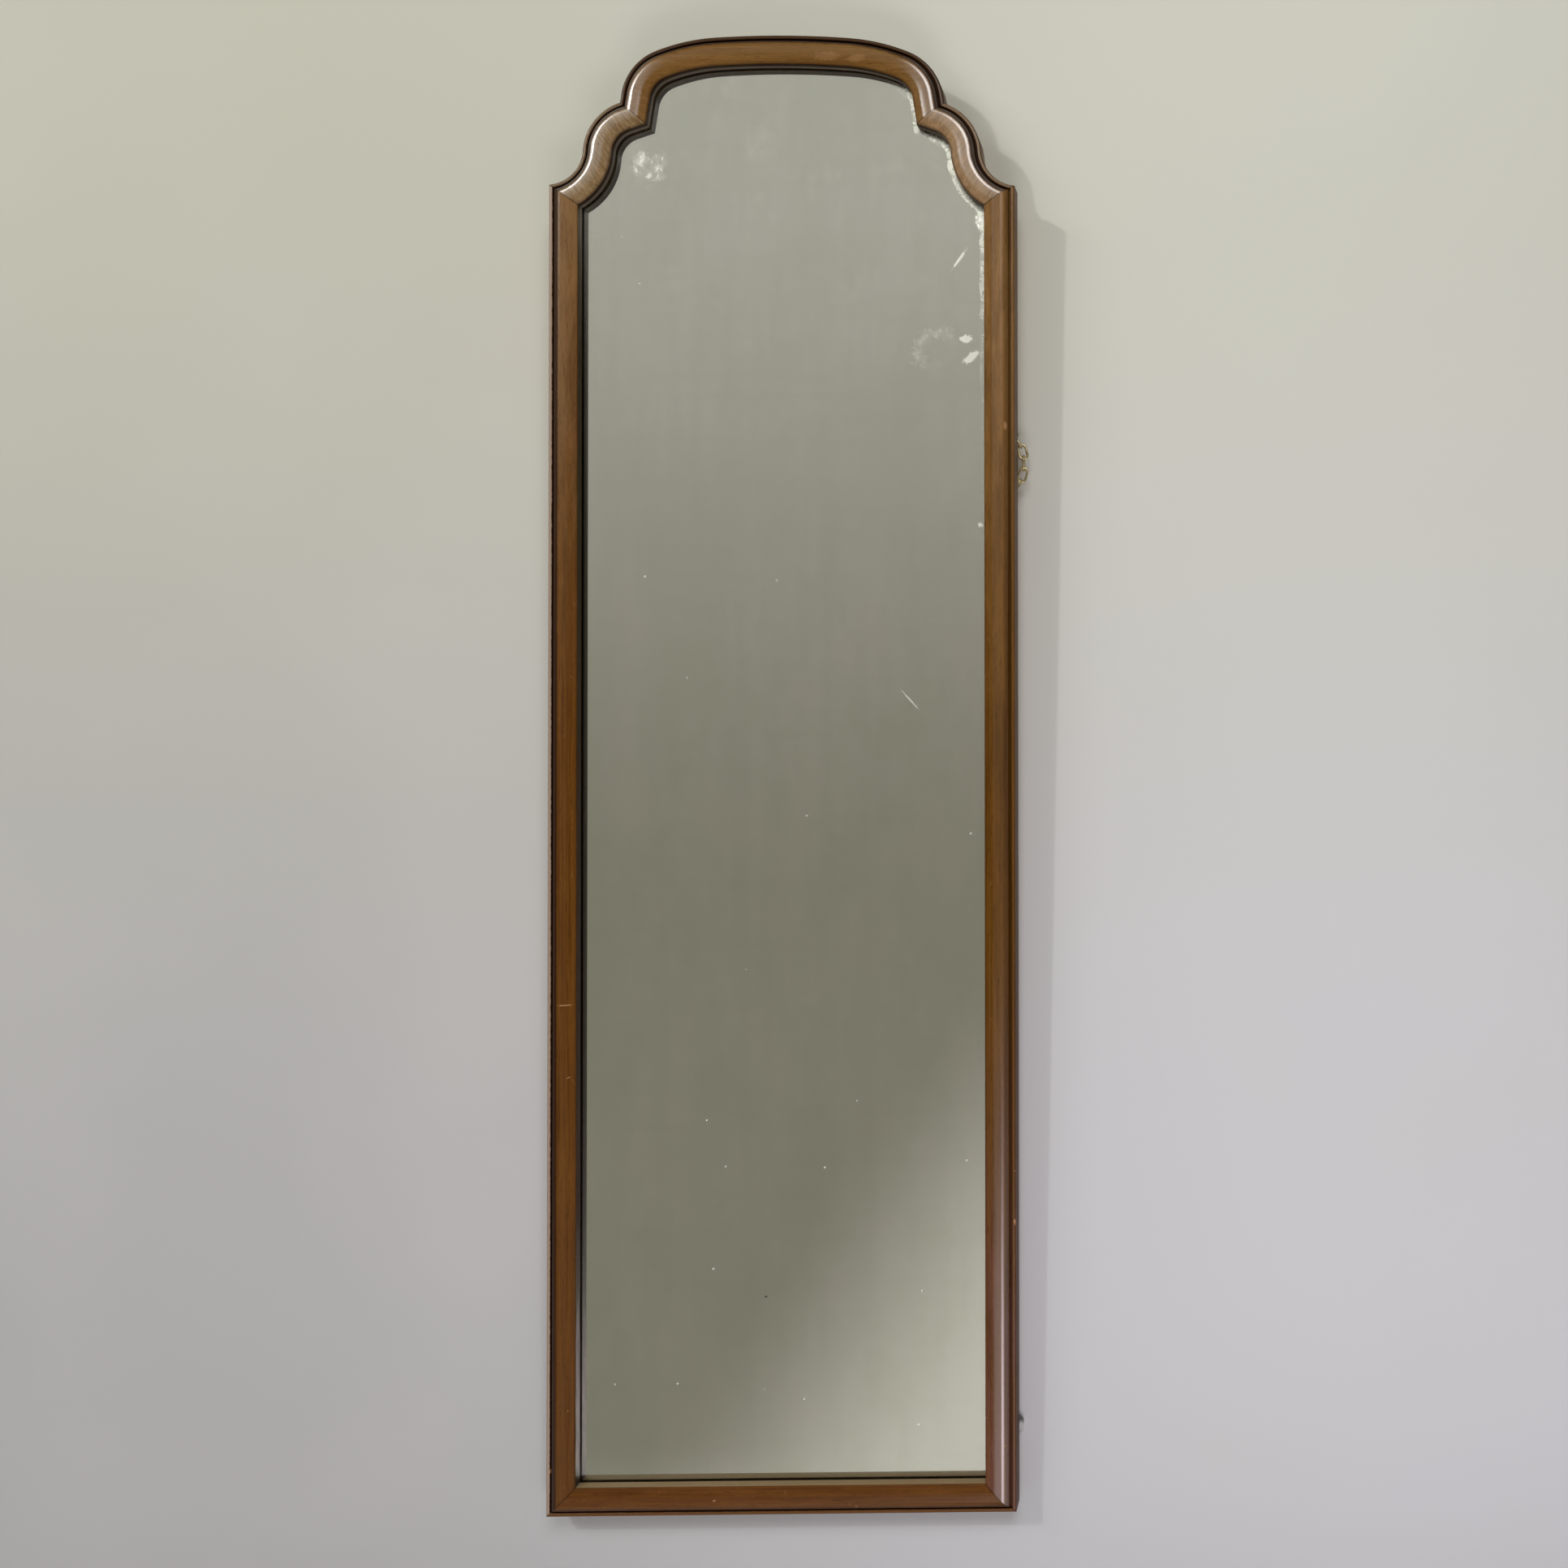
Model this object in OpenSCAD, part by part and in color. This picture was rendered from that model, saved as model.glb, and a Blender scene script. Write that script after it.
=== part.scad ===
// Tall dressing mirror with a shaped crest, hung by a chain.
// The origin is the middle of the link that goes over the wall hook.
// +Z is up, +X is to the right, and the mirror faces -Y.

/* [Frame] */
// Overall width of the frame
frame_w = 432; // [400:1:470]
// Overall height of the frame at the middle of the crest
frame_h = 1372; // [1000:1:1500]
// Width of the moulding, seen from the front
member_w = 28; // [26:0.5:31]
// Thickness of the moulding from its back to its crown
member_t = 28; // [27.5:0.5:31]

/* [Moulding profile] */
// Radius of the bead along the outer edge
bead_r = 2; // [1.5:0.1:2.4]
// Height of the bead's top above the back
bead_t = 22.5; // [21.5:0.1:23.5]
// Height of the bottom of the quirk above the back
quirk_t = 19.5; // [18.5:0.1:20]
// Width of the quirk between the bead and the cushion
quirk_w = 1.2; // [0.4:0.1:1.4]
// Radius at which the cushion rolls down to the quirk
roll_r = 7.5; // [6:0.1:7.8]
// Fall of the cushion from its crown to the sight edge
cushion_fall = 3; // [2:0.1:4]
// Rounding of the sight edge
sight_r = 1.5; // [0.8:0.1:2]
// Width of the rebate that takes the glass
rebate_w = 10; // [8:0.5:11]
// Depth of the rebate from the back of the moulding
rebate_t = 15; // [14.4:0.1:15.6]

/* [Crest and shoulders] */
// Angle at which the flat middle arc of the crest ends
crest_top_a = 4; // [3.5:0.1:5]
// Radius of the arc beside the middle one
crest_mid_r = 180; // [150:1:200]
// Angle at which that arc ends
crest_mid_a = 22; // [20:0.5:25]
// Radius of the crest's round ends
crest_end_r = 52; // [46:0.5:56]
// Angle at which the round ends turn straight
crest_end_a = 81; // [76:0.5:84]
// Straight length between a round end and the notch
crest_leg = 8.5; // [4:0.5:12]
// Angle at which a shoulder leaves the notch
shoulder_start_a = 19; // [14:0.5:24]
// Radius of the round top of a shoulder
shoulder_r = 51; // [44:0.5:56]
// Steepest angle of a shoulder, where it turns hollow
shoulder_turn_a = 86.5; // [80:0.5:88]
// Radius of the hollow foot of a shoulder
hollow_r = 34; // [28:0.5:40]
// Angle at which a shoulder meets the stile
shoulder_end_a = 5; // [2:0.5:10]

/* [Glass and back] */
// Thickness of the glass
glass_t = 4; // [3:0.5:5]
// Thickness of the silvering and its paint
coat_t = 0.2; // [0.1:0.05:0.3]
// Thickness of the backing felt
felt_t = 0.6; // [0.4:0.1:1]
// Thickness of the back boards
board_t = 5.5; // [4:0.5:6]
// Room between the glass and the wall of the rebate
glass_room = 1.5; // [1:0.1:2]
// Room between the back boards and the wall of the rebate
board_room = 2; // [1.8:0.1:3]
// Gap between two back boards
board_gap = 0.5; // [0.3:0.1:1.5]
// Length of a glass block
block_l = 40; // [20:1:60]
// Thickness of a glass block
block_w = 1.3; // [0.8:0.1:1.4]
// How far a glass block reaches behind the lip
block_deep = 9; // [5:0.5:10]

/* [Fixings] */
// Diameter of a brad
brad_d = 1.4; // [1:0.1:1.8]
// Length of a brad that is driven into the frame
brad_in = 7; // [5:0.5:9]
// Length of a brad that lies over the back boards
brad_out = 9; // [6:0.5:12]
// Leg length of a mitre nail
nail_leg = 5.5; // [4:0.5:6]
// Thickness of a mitre nail
nail_t = 0.7; // [0.5:0.1:0.9]
// Depth to which a mitre nail is pressed in
nail_deep = 10; // [7:0.5:12]
// Half the angle between the legs of a mitre nail
nail_a = 35; // [25:1:45]

/* [Hanging] */
// Height of the crest above the screw eyes
eye_drop = 356; // [300:1:420]
// Distance of a screw eye from the outer edge of the stile
eye_inset = 10; // [8:0.5:12]
// Radius of a screw eye's ring at the middle of its wire
eye_r = 6.5; // [6:0.1:7.5]
// Diameter of a screw eye's wire
eye_wire = 3; // [2.4:0.1:3.2]
// Depth of a screw eye's shank in the stile
eye_deep = 13; // [9:0.5:14]
// Gap between a screw eye's ring and the back of the stile
eye_gap = 1.5; // [0.5:0.1:4]
// Diameter of the chain's wire
chain_wire = 2.4; // [2:0.1:2.6]
// Outer length of a chain link
link_l = 16; // [15:0.1:18]
// Outer width of a chain link
link_w = 10; // [9.6:0.1:11]
// Number of link pairs on each side of the hook
leg_pairs = 10; // [10:1:11]
// Number of link pairs in the spare end of the chain
tail_pairs = 5; // [2:1:5]
// Radius of the bow in which the spare end hangs
tail_r = 43; // [40:1:50]
// How far the middle of the spare end bows out past the frame
tail_out = 5; // [0:0.5:8]

/* [Bumpers] */
// Diameter of a bumper
bumper_d = 14; // [10:0.5:16]
// Thickness of a bumper
bumper_t = 6; // [4:0.5:8]
// Chamfer on a bumper's wall side
bumper_chamfer = 1; // [0.5:0.1:1.5]
// Height of the bumpers above the foot of the frame
bumper_up = 71; // [40:1:100]
// How far a bumper stands out past the side of the frame
bumper_out = 4; // [0:0.5:5]

/* [Hidden] */
$fn = 96;

walnut = "#6b4526";
pine = "#b9925f";
brass = "#b08d4a";
steel = "#8f9194";

// Small clearances
drive_fit = 0.05;
link_gap = 0.08;
block_fit = 0.1;

// Cutters are this big. Cuts and mitred ends run past their edge by this length, or this angle on an arc.
big = 3000;
past = 1;
past_a = 1;

// Arcs of one member meet at a hairline, and a core inside the wood joins them
hairline = 0.02;
core_l = 2;
core_in = 1;

// Half the width of the frame
half_w = frame_w / 2;

// Centres and ends of the arcs, in the plane of the frame: x right, y up from the top of the crest
function dir(a) = [sin(a), cos(a)];
crest_span = crest_mid_r * sin(crest_mid_a) + crest_end_r * (sin(crest_end_a) - sin(crest_mid_a))
           + crest_leg * cos(crest_end_a) + shoulder_r * (sin(shoulder_turn_a) - sin(shoulder_start_a))
           + hollow_r * (sin(shoulder_turn_a) - sin(shoulder_end_a));
crest_top_r = crest_mid_r + (half_w - crest_span) / sin(crest_top_a);
top_c = [0, -crest_top_r];
mid_c = top_c + (crest_top_r - crest_mid_r) * dir(crest_top_a);
end_c = mid_c + (crest_mid_r - crest_end_r) * dir(crest_mid_a);
end_p = end_c + crest_end_r * dir(crest_end_a);
notch = end_p + crest_leg * [cos(crest_end_a), -sin(crest_end_a)];
shoulder_c = notch - shoulder_r * dir(shoulder_start_a);
turn_p = shoulder_c + shoulder_r * dir(shoulder_turn_a);
hollow_c = turn_p + hollow_r * dir(shoulder_turn_a);
corner = hollow_c - hollow_r * dir(shoulder_end_a);
foot = [half_w, -frame_h];

// The inner ends of the three mitre seams on the right
notch_half_a = (crest_end_a - shoulder_start_a) / 2;
notch_mean_a = (crest_end_a + shoulder_start_a) / 2;
function notch_at(s) = notch - s / cos(notch_half_a) * dir(notch_mean_a);
function hollow_end_a(s) = asin((hollow_c[0] - half_w + s) / (hollow_r + s));
function corner_at(s) = hollow_c - (hollow_r + s) * dir(hollow_end_a(s));
function foot_at(s) = foot + [-s, s];

// Outline of the opening, set in by s from the outer edge of the frame
step_a = 4;
function arc_pts(c, r, a0, a1) =
    let (n = ceil(abs(a1 - a0) / step_a))
    [for (i = [0 : n]) c + r * dir(a0 + (a1 - a0) * i / n)];
function half_outline(s) = concat(
    arc_pts(top_c, crest_top_r - s, 0, crest_top_a),
    arc_pts(mid_c, crest_mid_r - s, crest_top_a + step_a, crest_mid_a),
    arc_pts(end_c, crest_end_r - s, crest_mid_a + step_a, crest_end_a),
    [notch_at(s)],
    arc_pts(shoulder_c, shoulder_r - s, shoulder_start_a, shoulder_turn_a),
    arc_pts(hollow_c, -(hollow_r + s), shoulder_turn_a - step_a, hollow_end_a(s)),
    [foot_at(s)]);
function full_outline(s) =
    let (half = half_outline(s), n = len(half))
    concat(half, [for (i = [n - 1 : -1 : 1]) [-half[i][0], half[i][1]]]);
module outline(s) {
    polygon(full_outline(s));
}

// Depths above the back of the moulding
glass_back = rebate_t - glass_t;
coat_back = glass_back - coat_t;
felt_back = coat_back - felt_t;
board_back = felt_back - board_t;
wall_s = member_w - rebate_w;
glass_s = wall_s + glass_room;
board_s = wall_s + board_room;
brad_t = board_back - brad_d / 2 - drive_fit;

// Where the chain hangs: its plane is y = 0
ring_out = eye_r + eye_wire / 2;
back_y = -(ring_out + eye_gap);
eye_x = half_w - eye_inset;
inner_l = link_l - 2 * chain_wire;
bend_r = (link_w - chain_wire) / 2;
bar_l = link_l - chain_wire;
hold_l = inner_l / 2 - chain_wire / 2 - link_gap;
hold_eye = inner_l / 2 - eye_wire / 2 - link_gap;
pair_l = 2 * hold_l + bar_l;
leg_l = leg_pairs * pair_l - hold_l + hold_eye;
leg_run = eye_x - hold_l;
leg_rise = sqrt(leg_l * leg_l - leg_run * leg_run);
leg_a = asin(leg_rise / leg_l);
eye_z = -leg_rise - eye_r;
top_z = eye_z + eye_drop;

// Turns the plane of the frame upright, facing -Y, with its back on the back plane
module upright() {
    translate([0, back_y, top_z]) rotate([90, 0, 0]) children();
}

// The moulding: x from the outer edge to the sight edge, y from the back to the front
quirk_s = 2 * bead_r + quirk_w;
crown_s = quirk_s + roll_r;
face_run = member_w - crown_s;
face_r = (face_run * face_run + cushion_fall * cushion_fall) / (2 * cushion_fall);
face_c = [crown_s, member_t - face_r];
sight_x = member_w - sight_r;
sight_y = face_c[1] + sqrt(pow(face_r - sight_r, 2) - pow(sight_x - crown_s, 2));
blend_k = face_r / (face_r - sight_r);
blend_p = face_c + blend_k * ([sight_x, sight_y] - face_c);
module moulding_profile() {
    difference() {
        union() {
            square([member_w, quirk_t]);
            square([2 * bead_r, bead_t - bead_r]);
            translate([bead_r, bead_t - bead_r]) circle(bead_r);
            intersection() {
                translate([crown_s, member_t - roll_r]) circle(roll_r);
                translate([quirk_s, member_t - roll_r]) square(roll_r);
            }
            translate([quirk_s, quirk_t - past]) square([roll_r, member_t - roll_r - quirk_t + past]);
            intersection() {
                translate(face_c) circle(face_r, $fn = 720);
                translate([crown_s, quirk_t - past]) square([blend_p[0] - crown_s, member_t]);
            }
            translate([crown_s, quirk_t - past]) square([face_run, sight_y - quirk_t + past]);
            translate([sight_x, sight_y]) circle(sight_r);
        }
        translate([wall_s, -past]) square([rebate_w + past, rebate_t + past]);
    }
}

// Lengths of moulding: straight, bowed out and bowed in. Angles fall to the right of the crest.
module straight_run(p, a, from, to) {
    translate([p[0], p[1], 0]) rotate([0, 0, -a]) translate([from, 0, 0]) rotate([90, 0, 90])
        linear_extrude(to - from) mirror([1, 0]) moulding_profile();
}
module round_run(c, r, a0, a1) {
    trim = hairline / 2 / r * 180 / PI;
    translate([c[0], c[1], 0]) rotate([0, 0, 90 - a1 + trim])
        rotate_extrude(angle = a1 - a0 - 2 * trim, $fn = 180) translate([r, 0]) mirror([1, 0]) moulding_profile();
}
module hollow_run(c, r, a0, a1) {
    trim = hairline / 2 / r * 180 / PI;
    translate([c[0], c[1], 0]) rotate([0, 0, 270 - a0 + trim])
        rotate_extrude(angle = a0 - a1 - trim + past_a, $fn = 180) translate([r, 0]) moulding_profile();
}
module core(p, a) {
    translate([p[0], p[1], core_in]) rotate([0, 0, -a]) translate([-core_l / 2, core_in - wall_s, 0])
        cube([core_l, wall_s - 2 * core_in, rebate_t - core_in]);
}

// Everything on the left of the line from p to q
module left_of(p, q) {
    translate([p[0], p[1], -past]) rotate([0, 0, atan2(q[1] - p[1], q[0] - p[0])])
        translate([-big, 0, 0]) cube([2 * big, big, member_t + 2 * past]);
}

// Brads: each lies over the back boards, with its other end in the frame
module brad(p, a, fit = 0) {
    translate([p[0], p[1], brad_t]) rotate([0, 0, a]) rotate([0, 90, 0])
        translate([0, 0, -brad_in]) cylinder(d = brad_d + 2 * fit, h = brad_in + (fit > 0 ? past : brad_out));
}
stile_brads = 5;
top_brad_in = 60;
foot_brad_in = 110;
brad_top = corner[1] - top_brad_in;
brad_foot = -frame_h + foot_brad_in;
module stile_brads(fit = 0) {
    for (i = [0 : stile_brads - 1]) {
        y = brad_top + (brad_foot - brad_top) * i / (stile_brads - 1);
        brad([half_w - wall_s, y], 180, fit);
    }
}
rail_brad_share = 0.55;
rail_brad_x = half_w * rail_brad_share;
module rail_brads(fit = 0) {
    for (x = [-rail_brad_x, 0, rail_brad_x]) {
        brad([x, -frame_h + wall_s], 90, fit);
    }
}
crest_brad_share = 0.8;
crest_brad_a = crest_top_a * crest_brad_share;
module crest_brads(fit = 0) {
    for (a = [-crest_brad_a, 0, crest_brad_a]) {
        brad(top_c + (crest_top_r - wall_s) * dir(a), -90 - a, fit);
    }
}

// Mitre nails: a bent steel strip pressed into the back across each seam, and its slot
nail_places = [0.16, 0.4];
module mitre_nail(p, q, share, below) {
    a = atan2(q[1] - p[1], q[0] - p[0]);
    at = p + share * (q - p);
    translate([at[0], at[1], -below]) rotate([0, 0, a]) linear_extrude(nail_deep + below) {
        for (side = [-1, 1]) {
            rotate(side * nail_a) translate([0, -nail_t / 2]) square([nail_leg, nail_t]);
        }
        circle(d = nail_t, $fn = 24);
    }
}
module nails_at(p, q, below) {
    for (share = nail_places) {
        mitre_nail(p, q, share, below);
    }
}
module notch_nails(below = 0) {
    nails_at(notch, notch_at(member_w), below);
}
module corner_nails(below = 0) {
    nails_at(corner, corner_at(member_w), below);
}
module foot_nails(below = 0) {
    nails_at(foot, foot_at(member_w), below);
}

// Screw eye: its ring stands in the plane x = 0, open to the sides
module eye_shank(fit = 0) {
    rotate([90, 0, 0]) cylinder(d = eye_wire + 2 * fit, h = -back_y + eye_deep + (fit > 0 ? fit : 0));
}
module screw_eye() {
    rotate([0, 90, 0]) rotate_extrude($fn = 96) translate([eye_r, 0]) circle(d = eye_wire, $fn = 32);
    difference() {
        eye_shank();
        rotate([0, 90, 0]) cylinder(r = eye_r, h = 4 * eye_wire, center = true);
    }
}
module eye_hole() {
    translate([eye_x, 0, eye_z]) eye_shank(drive_fit);
}

// The six lengths of moulding, right-hand ones first
module half_crest() {
    core(top_c + crest_top_r * dir(crest_top_a), crest_top_a);
    round_run(mid_c, crest_mid_r, crest_top_a, crest_mid_a);
    core(mid_c + crest_mid_r * dir(crest_mid_a), crest_mid_a);
    round_run(end_c, crest_end_r, crest_mid_a, crest_end_a);
    core(end_p, crest_end_a);
    straight_run(end_p, crest_end_a, hairline / 2, crest_leg + member_w);
}
module crest_rail() {
    color(walnut) upright() difference() {
        union() {
            round_run(top_c, crest_top_r, -crest_top_a, crest_top_a);
            half_crest();
            mirror([1, 0, 0]) half_crest();
        }
        for (side = [0, 1]) {
            mirror([side, 0, 0]) {
                left_of(notch, notch_at(member_w));
                notch_nails(past);
            }
        }
        crest_brads(drive_fit);
    }
}
module shoulder() {
    upright() difference() {
        union() {
            straight_run(notch, shoulder_start_a, -member_w, -hairline / 2);
            core(notch, shoulder_start_a);
            round_run(shoulder_c, shoulder_r, shoulder_start_a, shoulder_turn_a);
            core(turn_p, shoulder_turn_a);
            hollow_run(hollow_c, hollow_r, shoulder_turn_a, shoulder_end_a);
        }
        left_of(notch_at(member_w), notch);
        left_of(corner, corner_at(member_w));
        notch_nails(past);
        corner_nails(past);
    }
}
module right_shoulder() {
    color(walnut) shoulder();
}
module left_shoulder() {
    color(walnut) mirror([1, 0, 0]) shoulder();
}
module stile() {
    difference() {
        upright() difference() {
            straight_run(corner, 90, -past, corner[1] - foot[1] + past);
            left_of(corner_at(member_w), corner);
            left_of(foot, foot_at(member_w));
            corner_nails(past);
            foot_nails(past);
            stile_brads(drive_fit);
        }
        eye_hole();
    }
}
module right_stile() {
    color(walnut) stile();
}
module left_stile() {
    color(walnut) mirror([1, 0, 0]) stile();
}
module bottom_rail() {
    color(walnut) upright() difference() {
        straight_run(foot, 180, -past, frame_w + past);
        for (side = [0, 1]) {
            mirror([side, 0, 0]) {
                left_of(foot_at(member_w), foot);
                foot_nails(past);
            }
        }
        rail_brads(drive_fit);
    }
}

// Glass, silvering, felt and the three back boards, one behind the other
module sheet(s, back, thick) {
    upright() translate([0, 0, back]) linear_extrude(thick) outline(s);
}
module mirror_glass() {
    color("#a9aaa0") sheet(glass_s, glass_back, glass_t);
}
module silvering() {
    color("#8b8c86") sheet(glass_s, coat_back, coat_t);
}
module backing_felt() {
    color("#6f6658") sheet(glass_s, felt_back, felt_t);
}
boards = 3;
board_top = -wall_s;
board_step = (frame_h - 2 * wall_s) / boards;
module board(i) {
    color(pine) upright() translate([0, 0, felt_back - board_t]) linear_extrude(board_t) intersection() {
        outline(board_s);
        translate([-half_w, board_top - (i + 1) * board_step + board_gap / 2])
            square([frame_w, board_step - board_gap]);
    }
}
module upper_backboard() {
    board(0);
}
module middle_backboard() {
    board(1);
}
module lower_backboard() {
    board(2);
}

// Softwood blocks between the edge of the glass and the wall of the rebate
top_block_in = 110;
foot_block_in = 160;
block_ends = [corner[1] - top_block_in, -frame_h + foot_block_in];
rail_block_share = 0.5;
block_rail_x = half_w * rail_block_share;
module block(p, a) {
    translate([p[0], p[1], rebate_t - block_fit - block_deep]) rotate([0, 0, a])
        translate([block_fit, -block_l / 2, 0]) cube([block_w, block_l, block_deep]);
}
module glass_blocks() {
    color(pine) upright() for (side = [0, 1]) {
        mirror([side, 0, 0]) {
            for (y = block_ends) {
                block([half_w - wall_s, y], 180);
            }
            block([block_rail_x, -frame_h + wall_s], 90);
        }
    }
}
module backboard_brads() {
    color(steel) upright() {
        for (side = [0, 1]) {
            mirror([side, 0, 0]) stile_brads();
        }
        rail_brads();
        crest_brads();
    }
}
module mitre_nails() {
    color(steel) upright() for (side = [0, 1]) {
        mirror([side, 0, 0]) {
            notch_nails();
            corner_nails();
            foot_nails();
        }
    }
}

// Screw eyes
module right_screw_eye() {
    color(brass) translate([eye_x, 0, eye_z]) screw_eye();
}
module left_screw_eye() {
    color(brass) translate([-eye_x, 0, eye_z]) screw_eye();
}

// One chain link lies along x, flat in the plane y = 0 or turned on edge
straight_l = link_l - link_w;
module chain_link(on_edge) {
    rotate([on_edge ? 0 : 90, 0, 0]) for (side = [0, 1]) {
        mirror([side, 0, 0]) {
            translate([straight_l / 2, 0, 0]) rotate([0, 0, -90])
                rotate_extrude(angle = 180, $fn = 48) translate([bend_r, 0]) circle(d = chain_wire, $fn = 24);
            translate([0, side == 0 ? bend_r : -bend_r, 0]) rotate([0, 90, 0])
                cylinder(d = chain_wire, h = straight_l, center = true, $fn = 24);
        }
    }
}

// A pair of links along x from a bar at the origin: a flat link holds the bar, the next is on edge
module link_pair(first_hold) {
    translate([first_hold, 0, 0]) chain_link(false);
    translate([first_hold + hold_l + bar_l / 2, 0, 0]) chain_link(true);
}
module chain_leg() {
    translate([eye_x, 0, eye_z + eye_r]) rotate([0, leg_a - 180, 0]) {
        for (i = [0 : leg_pairs - 1]) {
            translate([i == 0 ? 0 : i * pair_l - hold_l + hold_eye, 0, 0]) link_pair(i == 0 ? hold_eye : hold_l);
        }
    }
}
module right_chain() {
    color(brass) chain_leg();
}
module left_chain() {
    color(brass) mirror([1, 0, 0]) chain_leg();
}
module hook_link() {
    color(brass) chain_link(false);
}

// The spare end bows out in an arc, and its joints lie on that arc
tail_x = half_w + tail_out - tail_r;
tail_a0 = acos((eye_x - tail_x) / tail_r);
tail_z = eye_z - eye_r - tail_r * sin(tail_a0);
function chord_a(l) = 2 * asin(l / 2 / tail_r);
function tail_angle(i) = i == 0 ? tail_a0
    : tail_a0 - chord_a(hold_eye + hold_l) - chord_a(bar_l) - (i - 1) * (chord_a(2 * hold_l) + chord_a(bar_l));
function tail_at(a) = [tail_x + tail_r * cos(a), tail_z + tail_r * sin(a)];
module along(a0, a1) {
    p = tail_at(a0);
    q = tail_at(a1);
    translate([p[0], 0, p[1]]) rotate([0, -atan2(q[1] - p[1], q[0] - p[0]), 0]) children();
}
module chain_tail() {
    color(brass) for (i = [0 : tail_pairs - 1]) {
        hold = i == 0 ? hold_eye : hold_l;
        a0 = tail_angle(i);
        a1 = a0 - chord_a(hold + hold_l);
        a2 = a1 - chord_a(bar_l);
        along(a0, a1) translate([hold, 0, 0]) chain_link(false);
        along(a1, a2) translate([bar_l / 2, 0, 0]) chain_link(true);
    }
}

// Bumpers on the back, near the foot
bumper_x = half_w + bumper_out - bumper_d / 2;
module bumper() {
    translate([bumper_x, back_y, top_z - frame_h + bumper_up]) rotate([-90, 0, 0]) {
        cylinder(d = bumper_d, h = bumper_t - bumper_chamfer);
        translate([0, 0, bumper_t - bumper_chamfer])
            cylinder(d1 = bumper_d, d2 = bumper_d - 2 * bumper_chamfer, h = bumper_chamfer);
    }
}
module right_bumper() {
    color("#b9b9b6") bumper();
}
module left_bumper() {
    color("#b9b9b6") mirror([1, 0, 0]) bumper();
}

crest_rail();
left_shoulder();
right_shoulder();
left_stile();
right_stile();
bottom_rail();
mirror_glass();
silvering();
backing_felt();
upper_backboard();
middle_backboard();
lower_backboard();
glass_blocks();
backboard_brads();
mitre_nails();
left_screw_eye();
right_screw_eye();
left_chain();
right_chain();
hook_link();
chain_tail();
left_bumper();
right_bumper();
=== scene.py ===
# %% [markdown] # A tall dressing mirror The object is a narrow wall mirror: six lengths of
# polished walnut moulding round one plain glass, with a shaped head, hung on a brass chain.
# The CAD part gives every solid its form and place. This script loads it as a fixed frame and
# gives each piece the finish of the real one.

# %% Load the packed part
import math

import bpy
from mathutils import Matrix, Vector


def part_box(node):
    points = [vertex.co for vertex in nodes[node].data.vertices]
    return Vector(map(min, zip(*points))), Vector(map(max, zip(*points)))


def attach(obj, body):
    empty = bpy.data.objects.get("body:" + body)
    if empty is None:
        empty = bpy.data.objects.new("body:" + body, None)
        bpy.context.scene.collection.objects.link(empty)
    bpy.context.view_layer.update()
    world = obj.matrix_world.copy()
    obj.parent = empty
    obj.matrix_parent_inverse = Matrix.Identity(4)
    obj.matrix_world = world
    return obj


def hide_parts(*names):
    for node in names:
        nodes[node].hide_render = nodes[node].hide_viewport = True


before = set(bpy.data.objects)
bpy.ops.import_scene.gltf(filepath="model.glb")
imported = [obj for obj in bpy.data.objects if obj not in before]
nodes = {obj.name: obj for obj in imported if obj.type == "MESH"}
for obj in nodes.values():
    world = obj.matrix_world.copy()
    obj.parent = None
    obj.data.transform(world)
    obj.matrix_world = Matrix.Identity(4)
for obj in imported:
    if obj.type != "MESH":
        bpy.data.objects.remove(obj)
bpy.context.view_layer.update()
bpy.ops.object.select_all(action="DESELECT")

# %% [markdown]
# ## Sizes that the finishes need
# A finish that follows the moulding has to know where the moulding is. The back of the frame is
# one flat plane, so the height of a point above it tells which part of the profile it lies on:
# bead, quirk, cushion or lip. We read these sizes from the loaded solids, so they can't go stale.

# %% Measure the frame
stile_low, stile_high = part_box("right_stile")
crest_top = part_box("crest_rail")[1].z
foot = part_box("bottom_rail")[0].z
glass_low, glass_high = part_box("mirror_glass")
back_plane = stile_high.y
half_width = stile_high.x
member_width = stile_high.x - stile_low.x
crown_height = back_plane - stile_low.y
print("frame from", round(foot, 4), "to", round(crest_top, 4), "half width", round(half_width, 4))
print("depth of the moulding", round(crown_height, 4), "glass front at", round(glass_low.y, 4))

# %% [markdown]
# ## Small helpers for node trees
# Every finish here is a node tree. Adding a node, wiring it and setting its values takes the same
# three lines each time, so a small helper class keeps the later cells short. A value that we hand to
# a socket may be a number, a colour or another node's output: feed wires it or sets it as needed.

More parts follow.
